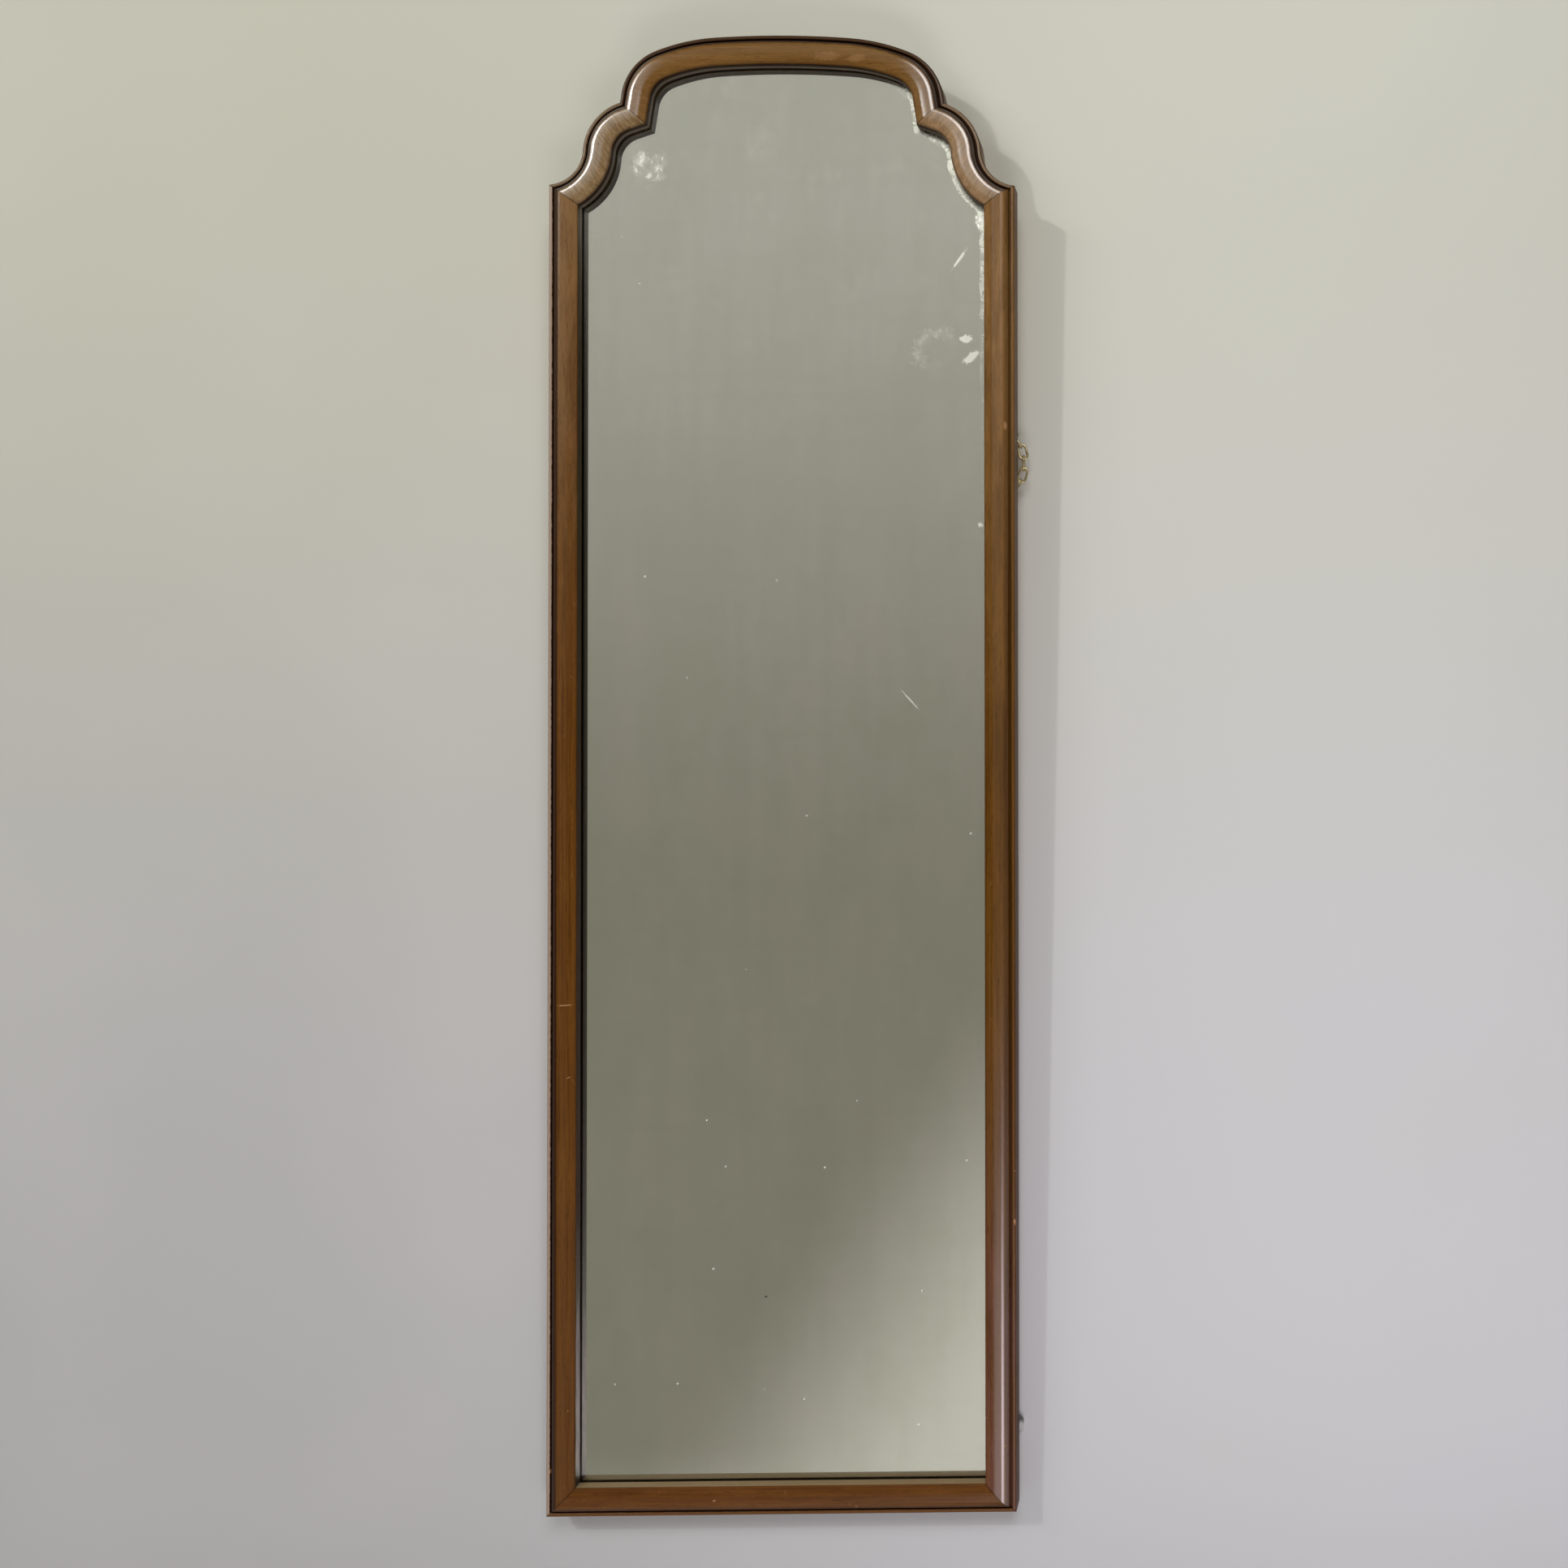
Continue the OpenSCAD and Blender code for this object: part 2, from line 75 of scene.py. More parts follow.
# %% Node helpers
class Finish:
    """A material or node group under construction."""

    def __init__(self, tree):
        self.tree = tree

    def node(self, kind, values=(), **settings):
        made = self.tree.nodes.new(kind)
        for name, value in settings.items():
            setattr(made, name, value)
        for name, value in dict(values).items():
            self.feed(made.inputs[name], value)
        return made

    def feed(self, socket, value):
        if isinstance(value, bpy.types.NodeSocket):
            self.tree.links.new(value, socket)
        else:
            socket.default_value = value

    def math(self, operation, *values, clamp=False):
        made = self.node("ShaderNodeMath", operation=operation, use_clamp=clamp)
        for socket, value in zip(made.inputs, values):
            self.feed(socket, value)
        return made.outputs[0]

    def mix(self, share, first, second):
        """The first colour where share is 0, the second where it is 1."""
        made = self.node("ShaderNodeMix", data_type="RGBA")
        self.feed(made.inputs[0], share)
        self.feed(made.inputs[6], first)
        self.feed(made.inputs[7], second)
        return made.outputs[2]

    def step(self, value, low, high):
        """0 at low, 1 at high, with a soft rise between them."""
        made = self.node("ShaderNodeMapRange", clamp=True, interpolation_type="SMOOTHSTEP")
        for name, number in {"Value": value, "From Min": low, "From Max": high,
                             "To Min": 0.0, "To Max": 1.0}.items():
            self.feed(made.inputs[name], number)
        return made.outputs[0]

    def between(self, value, low, high, soft):
        """1 between low and high, with soft edges outside them."""
        rising = self.step(value, low - soft, low)
        falling = self.step(value, high, high + soft)
        return self.math("MULTIPLY", rising, self.math("SUBTRACT", 1.0, falling))

    def noise(self, vector, scale, detail=3.0, rough=0.5, distortion=0.0):
        made = self.node("ShaderNodeTexNoise", {"Vector": vector, "Scale": scale, "Detail": detail,
                                                "Roughness": rough, "Distortion": distortion})
        return made.outputs[0]

    def stretch(self, vector, scale, turn=(0.0, 0.0, 0.0), move=(0.0, 0.0, 0.0)):
        made = self.node("ShaderNodeMapping", {"Vector": vector, "Scale": scale, "Rotation": turn,
                                               "Location": move})
        return made.outputs[0]

    def axes(self, vector):
        return self.node("ShaderNodeSeparateXYZ", {"Vector": vector}).outputs


print("node helpers:", [name for name in vars(Finish) if not name.startswith("_")])

# %% [markdown]
# ## Materials and groups
# A material starts as one Principled shader and the Object coordinates that its patterns read. What
# several materials share, such as grain or wear, is a node group: built once, and placed in each
# material with values of its own. Colours are written as a screen shows them.

# %% Material helpers
def colour(red, green, blue):
    """A colour written as it looks on a screen, 0 to 255, as the shader wants it."""
    def linear(channel):
        share = channel / 255
        return share / 12.92 if share <= 0.04045 else ((share + 0.055) / 1.055) ** 2.4
    return (linear(red), linear(green), linear(blue), 1.0)


def new_finish(name):
    """A material with a Principled BSDF, and the Object coordinates that its patterns read."""
    material = bpy.data.materials.new(name)
    material.use_nodes = True
    material.node_tree.nodes.clear()
    work = Finish(material.node_tree)
    shader = work.node("ShaderNodeBsdfPrincipled")
    output = work.node("ShaderNodeOutputMaterial")
    work.feed(output.inputs["Surface"], shader.outputs[0])
    place = work.node("ShaderNodeTexCoord").outputs["Object"]
    return material, work, shader, place


def new_group(name, inputs, outputs):
    """A shader node group with named sockets. Here, groups put out only masks and values."""
    tree = bpy.data.node_groups.new(name, "ShaderNodeTree")
    kinds = {"value": "NodeSocketFloat", "vector": "NodeSocketVector"}
    for socket, kind in inputs.items():
        tree.interface.new_socket(name=socket, in_out="INPUT", socket_type=kinds[kind])
    for socket, kind in outputs.items():
        tree.interface.new_socket(name=socket, in_out="OUTPUT", socket_type=kinds[kind])
    work = Finish(tree)
    return tree, work, work.node("NodeGroupInput").outputs, work.node("NodeGroupOutput").inputs


def place_group(work, tree, values):
    made = work.node("ShaderNodeGroup", node_tree=tree)
    for name, value in values.items():
        work.feed(made.inputs[name], value)
    return made.outputs


def show_where(work, shader, share):
    """Shows the shader where share is 1 and lets light through where it is 0."""
    clear = work.node("ShaderNodeBsdfTransparent")
    mixed = work.node("ShaderNodeMixShader", {0: share, 1: clear.outputs[0], 2: shader.outputs[0]})
    output = next(node for node in work.tree.nodes if node.type == "OUTPUT_MATERIAL")
    work.feed(output.inputs["Surface"], mixed.outputs[0])


def paint(node_name, material):
    """Gives a CAD node its finish."""
    for slot in nodes[node_name].material_slots:
        slot.material = material


print("a screen's middle grey is", round(colour(128, 128, 128)[0], 3), "to the shader")

# %% [markdown]
# ## The outline of the frame
# The right half of the outline is a chain: three arcs and a short leg of the crest, the round and
# the hollow of the shoulder, the stile and the foot. Its radii and angles are those of the CAD
# source. Arcs meet without a kink except at the notch, so each centre follows from the one before,
# and the top radius is the one that brings the chain's end to the corner of the stile.

# %% Outline of the frame
def heading(angle):
    """A direction in the plane of the frame, in degrees clockwise from straight up."""
    return Vector((math.sin(math.radians(angle)), math.cos(math.radians(angle))))


top_angle, middle_radius, middle_angle, end_radius, end_angle, leg = 4.0, 0.180, 22.0, 0.052, 81.0, 0.0085
start_angle, shoulder_radius, turn_angle, hollow_radius, last_angle = 19.0, 0.051, 86.5, 0.034, 5.0
reach = (middle_radius * heading(middle_angle).x
         + end_radius * (heading(end_angle).x - heading(middle_angle).x)
         + leg * heading(end_angle).y
         + shoulder_radius * (heading(turn_angle).x - heading(start_angle).x)
         + hollow_radius * (heading(turn_angle).x - heading(last_angle).x))
top_radius = middle_radius + (half_width - reach) / heading(top_angle).x
top_centre = Vector((0.0, crest_top - top_radius))
middle_centre = top_centre + (top_radius - middle_radius) * heading(top_angle)
end_centre = middle_centre + (middle_radius - end_radius) * heading(middle_angle)
end_point = end_centre + end_radius * heading(end_angle)
notch = end_point + leg * heading(end_angle + 90.0)
shoulder_centre = notch - shoulder_radius * heading(start_angle)
hollow_centre = shoulder_centre + (shoulder_radius + hollow_radius) * heading(turn_angle)
corner = hollow_centre - hollow_radius * heading(last_angle)
lower_corner = Vector((half_width, foot))
inner_radius = hollow_radius + member_width
inner_angle = math.degrees(math.asin((hollow_centre.x - half_width + member_width) / inner_radius))
inner_corner = hollow_centre - inner_radius * heading(inner_angle)
seams = [(notch, heading((end_angle + start_angle) / 2)),
         (corner, (corner - inner_corner).normalized()),
         (lower_corner, heading(135.0))]
runs = [("round", top_centre, top_radius), ("round", middle_centre, middle_radius),
        ("round", end_centre, end_radius), ("straight", notch, heading(end_angle)),
        ("straight", notch, heading(start_angle)), ("round", shoulder_centre, shoulder_radius),
        ("hollow", hollow_centre, hollow_radius), ("straight", corner, heading(90.0)),
        ("straight", lower_corner, heading(180.0))]
borders = [(top_centre, heading(top_angle)), (middle_centre, heading(middle_angle)),
           (end_centre, heading(end_angle)), seams[0], (shoulder_centre, heading(start_angle)),
           (shoulder_centre, heading(turn_angle)), seams[1], seams[2]]
print("notch at", [round(v, 4) for v in notch], "corner at", [round(v, 4) for v in corner])

# %% [markdown]
# ## How far across the moulding
# On a turned or bent moulding, dirt and polish follow the profile. Height alone can't tell the
# outer side of the cushion from the inner one, so we also need the distance from the outer edge.
# Each run of the outline tells it simply: radius minus distance from the centre on an arc, distance
# from a line on a straight length. Past each border the next run takes over. A painted image could
# hold the distance too, but it would blur close up.

# %% Across group
seam_from, seam_to = 0.0002, 0.0007


def make_across_group():
    tree, work, given, out = new_group(
        "across_moulding", {"Place": "vector"}, {"Across": "value", "Seam": "value"})
    x, y, z = work.axes(given["Place"])
    x = work.math("ABSOLUTE", x)

    def lean(point, first, second):
        """first times the way to the right of a point, plus second times the way up from it."""
        both = work.math("ADD", work.math("MULTIPLY", x, first), work.math("MULTIPLY", z, second))
        return work.math("SUBTRACT", both, point.x * first + point.y * second)

    def distance(kind, point, size):
        if kind == "straight":
            return lean(point, -size.x, -size.y)
        right, up = work.math("SUBTRACT", x, point.x), work.math("SUBTRACT", z, point.y)
        squares = work.math("ADD", work.math("MULTIPLY", right, right), work.math("MULTIPLY", up, up))
        far = work.math("SQRT", squares)
        return work.math("SUBTRACT", size, far) if kind == "round" else work.math("SUBTRACT", far, size)

    across = distance(*runs[0])
    for (point, way), run in zip(borders, runs[1:]):
        beyond = work.math("GREATER_THAN", lean(point, way.y, -way.x), 0.0)
        change = work.math("SUBTRACT", distance(*run), across)
        across = work.math("ADD", across, work.math("MULTIPLY", beyond, change))
    work.feed(out["Across"], across)
    seam = 0.0
    for point, way in seams:
        far = work.math("ABSOLUTE", lean(point, way.y, -way.x))
        seam = work.math("MAXIMUM", seam, work.step(far, seam_to, seam_from))
    work.feed(out["Seam"], seam)
    return tree


across_moulding = make_across_group()
print("across group:", len(across_moulding.nodes), "nodes")

# %% [markdown]
# ## Walnut: the grain
# Walnut shows three things at once: broad slow bands of darker and lighter wood, fine streaks that
# run along the board, and short dark pores. All three are noise that is stretched along the grain.
# The grain is a group, because all six lengths of moulding use it, each along its own direction.

# %% Grain group
def make_grain_group():
    tree, work, given, out = new_group(
        "walnut_grain", {"Along": "vector"}, {"Band": "value", "Streak": "value", "Pore": "value"})
    along = given["Along"]
    bands = work.noise(work.stretch(along, (60.0, 60.0, 3.2)), 1.0, 3.0, 0.55, 0.6)
    work.feed(out["Band"], work.step(bands, 0.3, 0.7))
    streaks = work.noise(work.stretch(along, (520.0, 520.0, 9.0)), 1.0, 4.0, 0.6, 0.25)
    work.feed(out["Streak"], work.step(streaks, 0.32, 0.68))
    pores = work.noise(work.stretch(along, (2100.0, 2100.0, 95.0)), 1.0, 2.0, 0.5)
    work.feed(out["Pore"], work.step(pores, 0.60, 0.70))
    return tree


walnut_grain = make_grain_group()
print("grain group:", len(walnut_grain.nodes), "nodes")

# %% [markdown]
# ## Marks at a known place
# Some marks are single events: a knock on the crest, a scratch across the stile, a bare spot in the
# silvering. Each is a soft ellipse at its own place on the front, with an uneven rim. One group
# makes them all. One helper lays a single mark, and another lays a list of them over each other.

# %% Mark group
def make_mark_group():
    tree, work, given, out = new_group(
        "mark", {"Place": "vector", "X": "value", "Z": "value", "Wide": "value", "High": "value",
                 "Turn": "value"}, {"Mark": "value"})
    x, y, z = work.axes(given["Place"])
    right = work.math("SUBTRACT", x, given["X"])
    rise = work.math("SUBTRACT", z, given["Z"])
    cosine, sine = work.math("COSINE", given["Turn"]), work.math("SINE", given["Turn"])
    along = work.math("ADD", work.math("MULTIPLY", right, cosine), work.math("MULTIPLY", rise, sine))
    over = work.math("SUBTRACT", work.math("MULTIPLY", rise, cosine),
                     work.math("MULTIPLY", right, sine))
    wide = work.math("POWER", work.math("DIVIDE", along, given["Wide"]), 2.0)
    high = work.math("POWER", work.math("DIVIDE", over, given["High"]), 2.0)
    rim = work.math("MULTIPLY", work.math("SUBTRACT", work.noise(given["Place"], 420.0, 3.0), 0.5), 1.1)
    reach = work.math("ADD", work.math("SQRT", work.math("ADD", wide, high)), rim)
    work.feed(out["Mark"], work.step(reach, 1.0, 0.45))
    return tree


mark_group = make_mark_group()


def lay_mark(work, place, x, z, wide, high, turn):
    """One mark at x and z, by half width and half height, turned by degrees."""
    return place_group(work, mark_group, {"Place": place, "X": x, "Z": z, "Wide": wide, "High": high,
                                          "Turn": math.radians(turn)})["Mark"]


def lay_marks(work, place, marks):
    """The strongest of several marks, each written as lay_mark has it, with its strength last."""
    total = 0.0
    for *shape, strength in marks:
        mark = lay_mark(work, place, *shape)
        total = work.math("MAXIMUM", total, work.math("MULTIPLY", mark, strength))
    return total


print("mark group:", len(mark_group.nodes), "nodes")

# %% [markdown]
# ## Walnut: where wax, dirt and hands have been, and where shade is painted
# Dark colour lies in the quirk and on the outer skirt of the cushion: partly dirt that dusters
# seldom reach, partly painted shade. The inner edge of the face and the outer side near the back are
# darkened as painted shade, and the bead's pale band is partly rubbed wood, partly painted highlight.
# The polish keeps the crown bright. The lip that faces the glass was never polished, and its colours
# are painted light and shade. Distance across the moulding and height above its back find each place.

# %% Moulding wear and shade group
face_from, face_to = 0.0183, 0.0189  # heights above the back
lip_top, deep_top, side_top = 0.0248, 0.0210, 0.0200
quirk_from, quirk_to = 0.0041, 0.0054  # distances across from the outer edge
bead_from, bead_to = 0.0008, 0.0030
crown_from, crown_to = 0.0080, 0.0185
# the inner edge band of the face, painted shade where the cushion turns down into the lip
edge_from, edge_to = member_width - 0.0028, member_width - 0.0008
lip_from, lip_to = member_width - 0.0006, member_width - 0.0002
# the outer side near the back, painted shade
side_from, side_to = 0.0006, 0.0002
ragged_by = 0.0012  # how far the borders of dirt and polish wander


def make_wear_and_shade_group():
    tree, work, given, out = new_group(
        "moulding_wear_and_shade", {"Place": "vector", "Skirt To": "value"},
        {mask: "value" for mask in ("Quirk", "Bead", "Skirt", "Crown", "Edge Shade", "Lip", "Face", "Deep",
                                    "Side", "Seam", "Patch", "Scuff", "Speck")})
    place = given["Place"]
    x, y, z = work.axes(place)
    found = place_group(work, across_moulding, {"Place": place})
    across = found["Across"]
    work.feed(out["Seam"], found["Seam"])
    height = work.math("SUBTRACT", back_plane, y)
    ragged = work.math("MULTIPLY", work.math("SUBTRACT", work.noise(place, 260.0, 3.0), 0.5), ragged_by)
    unsteady = work.math("ADD", across, ragged)
    face = work.step(height, face_from, face_to)
    work.feed(out["Face"], face)
    # Quirk and Skirt mark dark bands that are partly dirt, partly painted shade. Edge marks painted shade
    # along the inner edge of the face.
    masks = {"Quirk": work.between(unsteady, quirk_from, quirk_to, 0.0005),
             "Bead": work.between(unsteady, bead_from, bead_to, 0.0006),
             "Skirt": work.step(work.math("SUBTRACT", unsteady, given["Skirt To"]), 0.0012, -0.0012),
             "Crown": work.between(unsteady, crown_from, crown_to, 0.0030),
             "Edge Shade": work.step(unsteady, edge_from, edge_to)}
    for name, mask in masks.items():
        work.feed(out[name], work.math("MULTIPLY", face, mask))
    # Lip and Deep mark where the walnut paints light and shade on the lip.
    inner = work.step(across, lip_from, lip_to)
    work.feed(out["Lip"], work.math("MULTIPLY", inner, work.step(height, lip_top, lip_top - 0.0008)))
    work.feed(out["Deep"], work.step(height, deep_top, deep_top - 0.0030))
    # Side marks painted shade on the outer side near the back.
    outer = work.step(across, side_from, side_to)
    work.feed(out["Side"], work.math("MULTIPLY", outer, work.step(height, side_top, side_top - 0.0010)))
    patches = work.noise(work.stretch(place, (14.0, 9.0, 10.0)), 1.0, 4.0, 0.6)
    work.feed(out["Patch"], work.step(patches, 0.46, 0.70))
    scuffs = work.noise(work.stretch(place, (260.0, 240.0, 90.0)), 1.0, 5.0, 0.7)
    work.feed(out["Scuff"], work.step(scuffs, 0.62, 0.72))
    specks = work.node("ShaderNodeTexVoronoi", {"Vector": place, "Scale": 62.0}).outputs["Distance"]
    few = work.step(work.noise(place, 23.0, 2.0), 0.60, 0.66)
    work.feed(out["Speck"], work.math("MULTIPLY", work.step(specks, 0.060, 0.035), few))
    return tree


moulding_wear_and_shade = make_wear_and_shade_group()
print("wear group:", len(moulding_wear_and_shade.nodes), "nodes")

# %% [markdown]
# ## Walnut: the recipe
# The wood's own colours come first, shifted towards one tone at the head and another at the foot.
# Figure, streaks, pores, scuffs and dirt go over them layer by layer, with painted shade on the skirt,
# quirk, inner edge and outer side, a painted highlight on the bead, and painted light and shade on the
# lip. The Principled shader's coat stands for the polish: it is bright on the crown of the cushion and
# thin on the bead, and the crest has lost most of it in the middle.

# %% Walnut recipe
# This dark tone is dirt in the pores and seams. On the skirt and quirk it is partly dirt, partly painted
# shade, and on the inner edge and outer side it is painted shade.
dirt_and_shade = colour(34, 14, 2)
bare_wood = colour(158, 120, 84)
# painted light on the deep part of the lip at the head, near the glass
lit_deep_lip = colour(96, 92, 82)


def make_walnut(name, dark, plain, light, turn, move, foot_tone, head_tone, skirt, quirk, bead, edge,
                lip_low, lip_high, polished=1.0, polished_low=None, sheen=0.26, skirt_to=0.0091,
                bead_wear_and_highlight_tone=None, marks=(), dull_middle=False):
    material, work, shader, place = new_finish(name)
    x, y, z = work.axes(place)
    along = work.stretch(place, (1.0, 1.0, 1.0), turn=turn, move=move)
    grain = place_group(work, walnut_grain, {"Along": along})
    wear_and_shade = place_group(work, moulding_wear_and_shade, {"Place": place, "Skirt To": skirt_to})
    wood = work.mix(grain["Band"], dark, plain)
    figure = work.noise(work.stretch(along, (70.0, 70.0, 11.0), move=(2.0, 1.0, 3.0)), 1.0, 4.0, 0.65)
    layers = [(wear_and_shade["Patch"], 0.45, light), (work.step(z, -0.55, -1.05), 0.70, foot_tone),
              (work.step(z, -0.45, 0.14), 0.85, head_tone),
              (work.step(figure, 0.40, 0.62), 0.60, dark), (grain["Streak"], 0.42, light),
              (grain["Pore"], 0.55, dirt_and_shade), (wear_and_shade["Scuff"], 0.16, bare_wood),
              # Skirt and quirk darken partly as dirt, partly as painted shade; the bead's pale tone is
              # partly rubbed wood, partly painted highlight; inner edge and outer side are painted shade;
              # seams are dirt.
              (wear_and_shade["Skirt"], skirt, dirt_and_shade), (wear_and_shade["Bead"], bead, bead_wear_and_highlight_tone or light),
              (wear_and_shade["Quirk"], quirk, dirt_and_shade), (wear_and_shade["Edge Shade"], edge, dirt_and_shade),
              (wear_and_shade["Side"], 0.5, dirt_and_shade), (wear_and_shade["Seam"], 0.75, dirt_and_shade)]
    for mask, strength, tone in layers:
        wood = work.mix(work.math("MULTIPLY", mask, strength), wood, tone)
    # The lip is painted light and shade: one tone low on the frame and another high, and at the head a
    # lighter painted-light tone on its deep part near the glass.
    lip = work.mix(work.step(z, -0.15, -0.75), lip_high, lip_low)
    lip = work.mix(work.math("MULTIPLY", work.step(z, -0.02, 0.12), wear_and_shade["Deep"]), lip, lit_deep_lip)
    wood = work.mix(work.math("MULTIPLY", wear_and_shade["Lip"], 0.85), wood, lip)
    wood = work.mix(work.math("MULTIPLY", wear_and_shade["Speck"], 0.5), wood, bare_wood)
    if marks:
        worn = work.math("MULTIPLY", wear_and_shade["Face"], lay_marks(work, place, marks))
        wood = work.mix(worn, wood, bare_wood)
    work.feed(shader.inputs["Base Color"], wood)
    gloss = work.math("ADD", 0.42, work.math("MULTIPLY", wear_and_shade["Patch"], 0.08))
    work.feed(shader.inputs["Roughness"], gloss)
    polish = work.math("SUBTRACT", 1.0, work.math("MULTIPLY", wear_and_shade["Scuff"], 0.4))
    polish = work.math("MULTIPLY", wear_and_shade["Crown"], polish)
    kept = polished
    if polished_low is not None:
        gain = work.math("MULTIPLY", work.step(z, -0.55, -0.95), polished_low - polished)
        kept = work.math("ADD", polished, gain)
    polish = work.math("MULTIPLY", polish, kept)
    if dull_middle:
        ends = work.step(work.math("ABSOLUTE", x), 0.105, 0.132)
        polish = work.math("MULTIPLY", polish, work.math("ADD", 0.12, work.math("MULTIPLY", ends, 0.88)))
    polish = work.math("MAXIMUM", polish, work.math("MULTIPLY", wear_and_shade["Bead"], 0.15))
    work.feed(shader.inputs["Coat Weight"], polish)
    shader.inputs["Coat Roughness"].default_value = sheen
    shader.inputs["Coat IOR"].default_value = 1.85
    shader.inputs["Specular IOR Level"].default_value = 0.06
    relief = work.math("ADD", work.math("MULTIPLY", grain["Streak"], 0.4),
                       work.math("MULTIPLY", grain["Pore"], -1.0))
    bump = work.node("ShaderNodeBump", {"Height": relief, "Strength": 0.2, "Distance": 0.0002})
    work.feed(shader.inputs["Normal"], bump.outputs[0])
    return material


print("walnut recipe ready")

# %% [markdown]
# ## Walnut: one look for each length of moulding
# The frame is cut from several boards, so each length gets its own tone and its own grain
# direction: upright on the stiles, level on the crest and the foot, slanting on the shoulders. The
# strengths say how dark skirt and quirk are painted, partly as dirt and partly as shade, and how
# much painted shade lies along the inner edge; the marks are single knocks and scratches that the
# photograph shows.

# %% Walnut looks
upright = (0.0, 0.0, 0.0)
level = (0.0, math.radians(90.0), 0.0)
left_slant = (0.0, math.radians(38.0), 0.0)
right_slant = (0.0, math.radians(-38.0), 0.0)
# The lip colours are painted light and shade: black on the head, whose lip faces down, amber on the foot,
# whose lip faces up, olive on the stiles.
shaded_black_lip = colour(24, 12, 4)
olive_lip = colour(50, 46, 28)
lit_amber_lip = colour(142, 124, 92)
walnut_looks = {
    "left_stile": {"dark": colour(64, 36, 3), "plain": colour(83, 49, 9), "light": colour(102, 66, 20),
                   "turn": upright, "move": (0.3, 0.1, 0.0), "foot_tone": colour(73, 42, 12),
                   "head_tone": colour(112, 86, 54), "skirt": 0.92, "skirt_to": 0.0112, "quirk": 0.5,
                   "bead": 0.95, "edge": 0.1, "polished": 0.12, "bead_wear_and_highlight_tone": colour(138, 120, 104),
                   "lip_low": colour(62, 54, 46), "lip_high": olive_lip,
                   "marks": [(-0.197, -0.6445, 0.009, 0.0007, 2, 0.7),
                             (-0.194, -0.711, 0.0035, 0.0006, 20, 0.6),
                             (-0.2121, -1.0738, 0.0016, 0.0022, 0, 0.8)]},
    # The right stile's mauve foot tone is partly painted reflection of the pinkish low light.
    "right_stile": {"dark": colour(66, 39, 4), "plain": colour(84, 53, 11), "light": colour(104, 70, 22),
                    "turn": upright, "move": (0.9, 0.4, 0.7), "foot_tone": colour(91, 57, 57),
                    "head_tone": colour(128, 95, 50), "skirt": 0.25, "quirk": 0.20, "sheen": 0.32,
                    "bead": 0.15, "edge": 0.25, "polished": 0.25, "polished_low": 1.0,
                    "lip_low": colour(116, 108, 102), "lip_high": olive_lip,
                    "marks": [(0.2151, -0.8484, 0.0012, 0.0035, 0, 0.8),
                              (0.2078, -0.110, 0.0022, 0.0045, 0, 0.6),
                              (0.206, -1.052, 0.003, 0.0006, 0, 0.5)]},
    "bottom_rail": {"dark": colour(66, 38, 8), "plain": colour(86, 52, 16), "light": colour(104, 67, 26),
                    "turn": level, "move": (0.2, 0.7, 0.3), "foot_tone": colour(84, 49, 20),
                    "head_tone": colour(84, 49, 20), "skirt": 0.55, "quirk": 0.4, "bead": 0.5,
                    "edge": 0.0, "polished": 0.12,
                    "lip_low": lit_amber_lip, "lip_high": lit_amber_lip,
                    "marks": [(-0.06, -1.099, 0.0018, 0.001, 10, 0.6),
                              (0.07, -1.106, 0.0014, 0.0009, 0, 0.6)]},
    "crest_rail": {"dark": colour(84, 56, 18), "plain": colour(104, 75, 36), "light": colour(118, 87, 44),
                   "turn": level, "move": (0.5, 0.2, 0.1), "foot_tone": colour(98, 70, 33),
                   "head_tone": colour(97, 69, 32), "skirt": 0.95, "sheen": 0.25, "quirk": 0.8,
                   "bead": 0.1, "edge": 0.35, "dull_middle": True,
                   "lip_low": shaded_black_lip, "lip_high": shaded_black_lip,
                   "marks": [(0.043, 0.2345, 0.016, 0.005, 0, 0.18),
                             (0.070, 0.2330, 0.010, 0.004, 8, 0.22)]},
    # The shoulders' pale tones are partly the wood's own, partly painted sheen.
    "left_shoulder": {"dark": colour(80, 60, 32), "plain": colour(120, 97, 68),
                      "light": colour(148, 125, 94),
                      "turn": left_slant, "move": (0.1, 0.9, 0.2), "foot_tone": colour(102, 68, 26),
                      "head_tone": colour(110, 89, 60), "skirt": 0.95, "sheen": 0.24,
                      "skirt_to": 0.0096, "quirk": 0.8, "bead": 0.35, "edge": 0.35,
                      "lip_low": shaded_black_lip, "lip_high": shaded_black_lip},
    "right_shoulder": {"dark": colour(96, 72, 44), "plain": colour(124, 98, 68),
                       "light": colour(152, 126, 94),
                       "turn": right_slant, "move": (0.6, 0.3, 0.9), "foot_tone": colour(106, 72, 32),
                       "head_tone": colour(120, 96, 68), "skirt": 0.95, "sheen": 0.25,
                       "skirt_to": 0.0096, "quirk": 0.8, "bead": 0.35, "edge": 0.5,
                       "lip_low": shaded_black_lip, "lip_high": shaded_black_lip},
}
for member, look in walnut_looks.items():
    paint(member, make_walnut("walnut_" + member, **look))
print("walnut on", len(walnut_looks), "lengths of moulding")

# %% [markdown]
# ## Looking glass
# The glass is old and slightly green, and its silvering lies 4 mm behind the front. Here the light
# really goes through the glass to the metal and back: clear glass in front, and the metal of the
# silvering as the next sheet. One mirror sheet would be simpler, but its spots would then lie on the
# front instead of behind the glass. Faint smears and cords are in the glass itself.

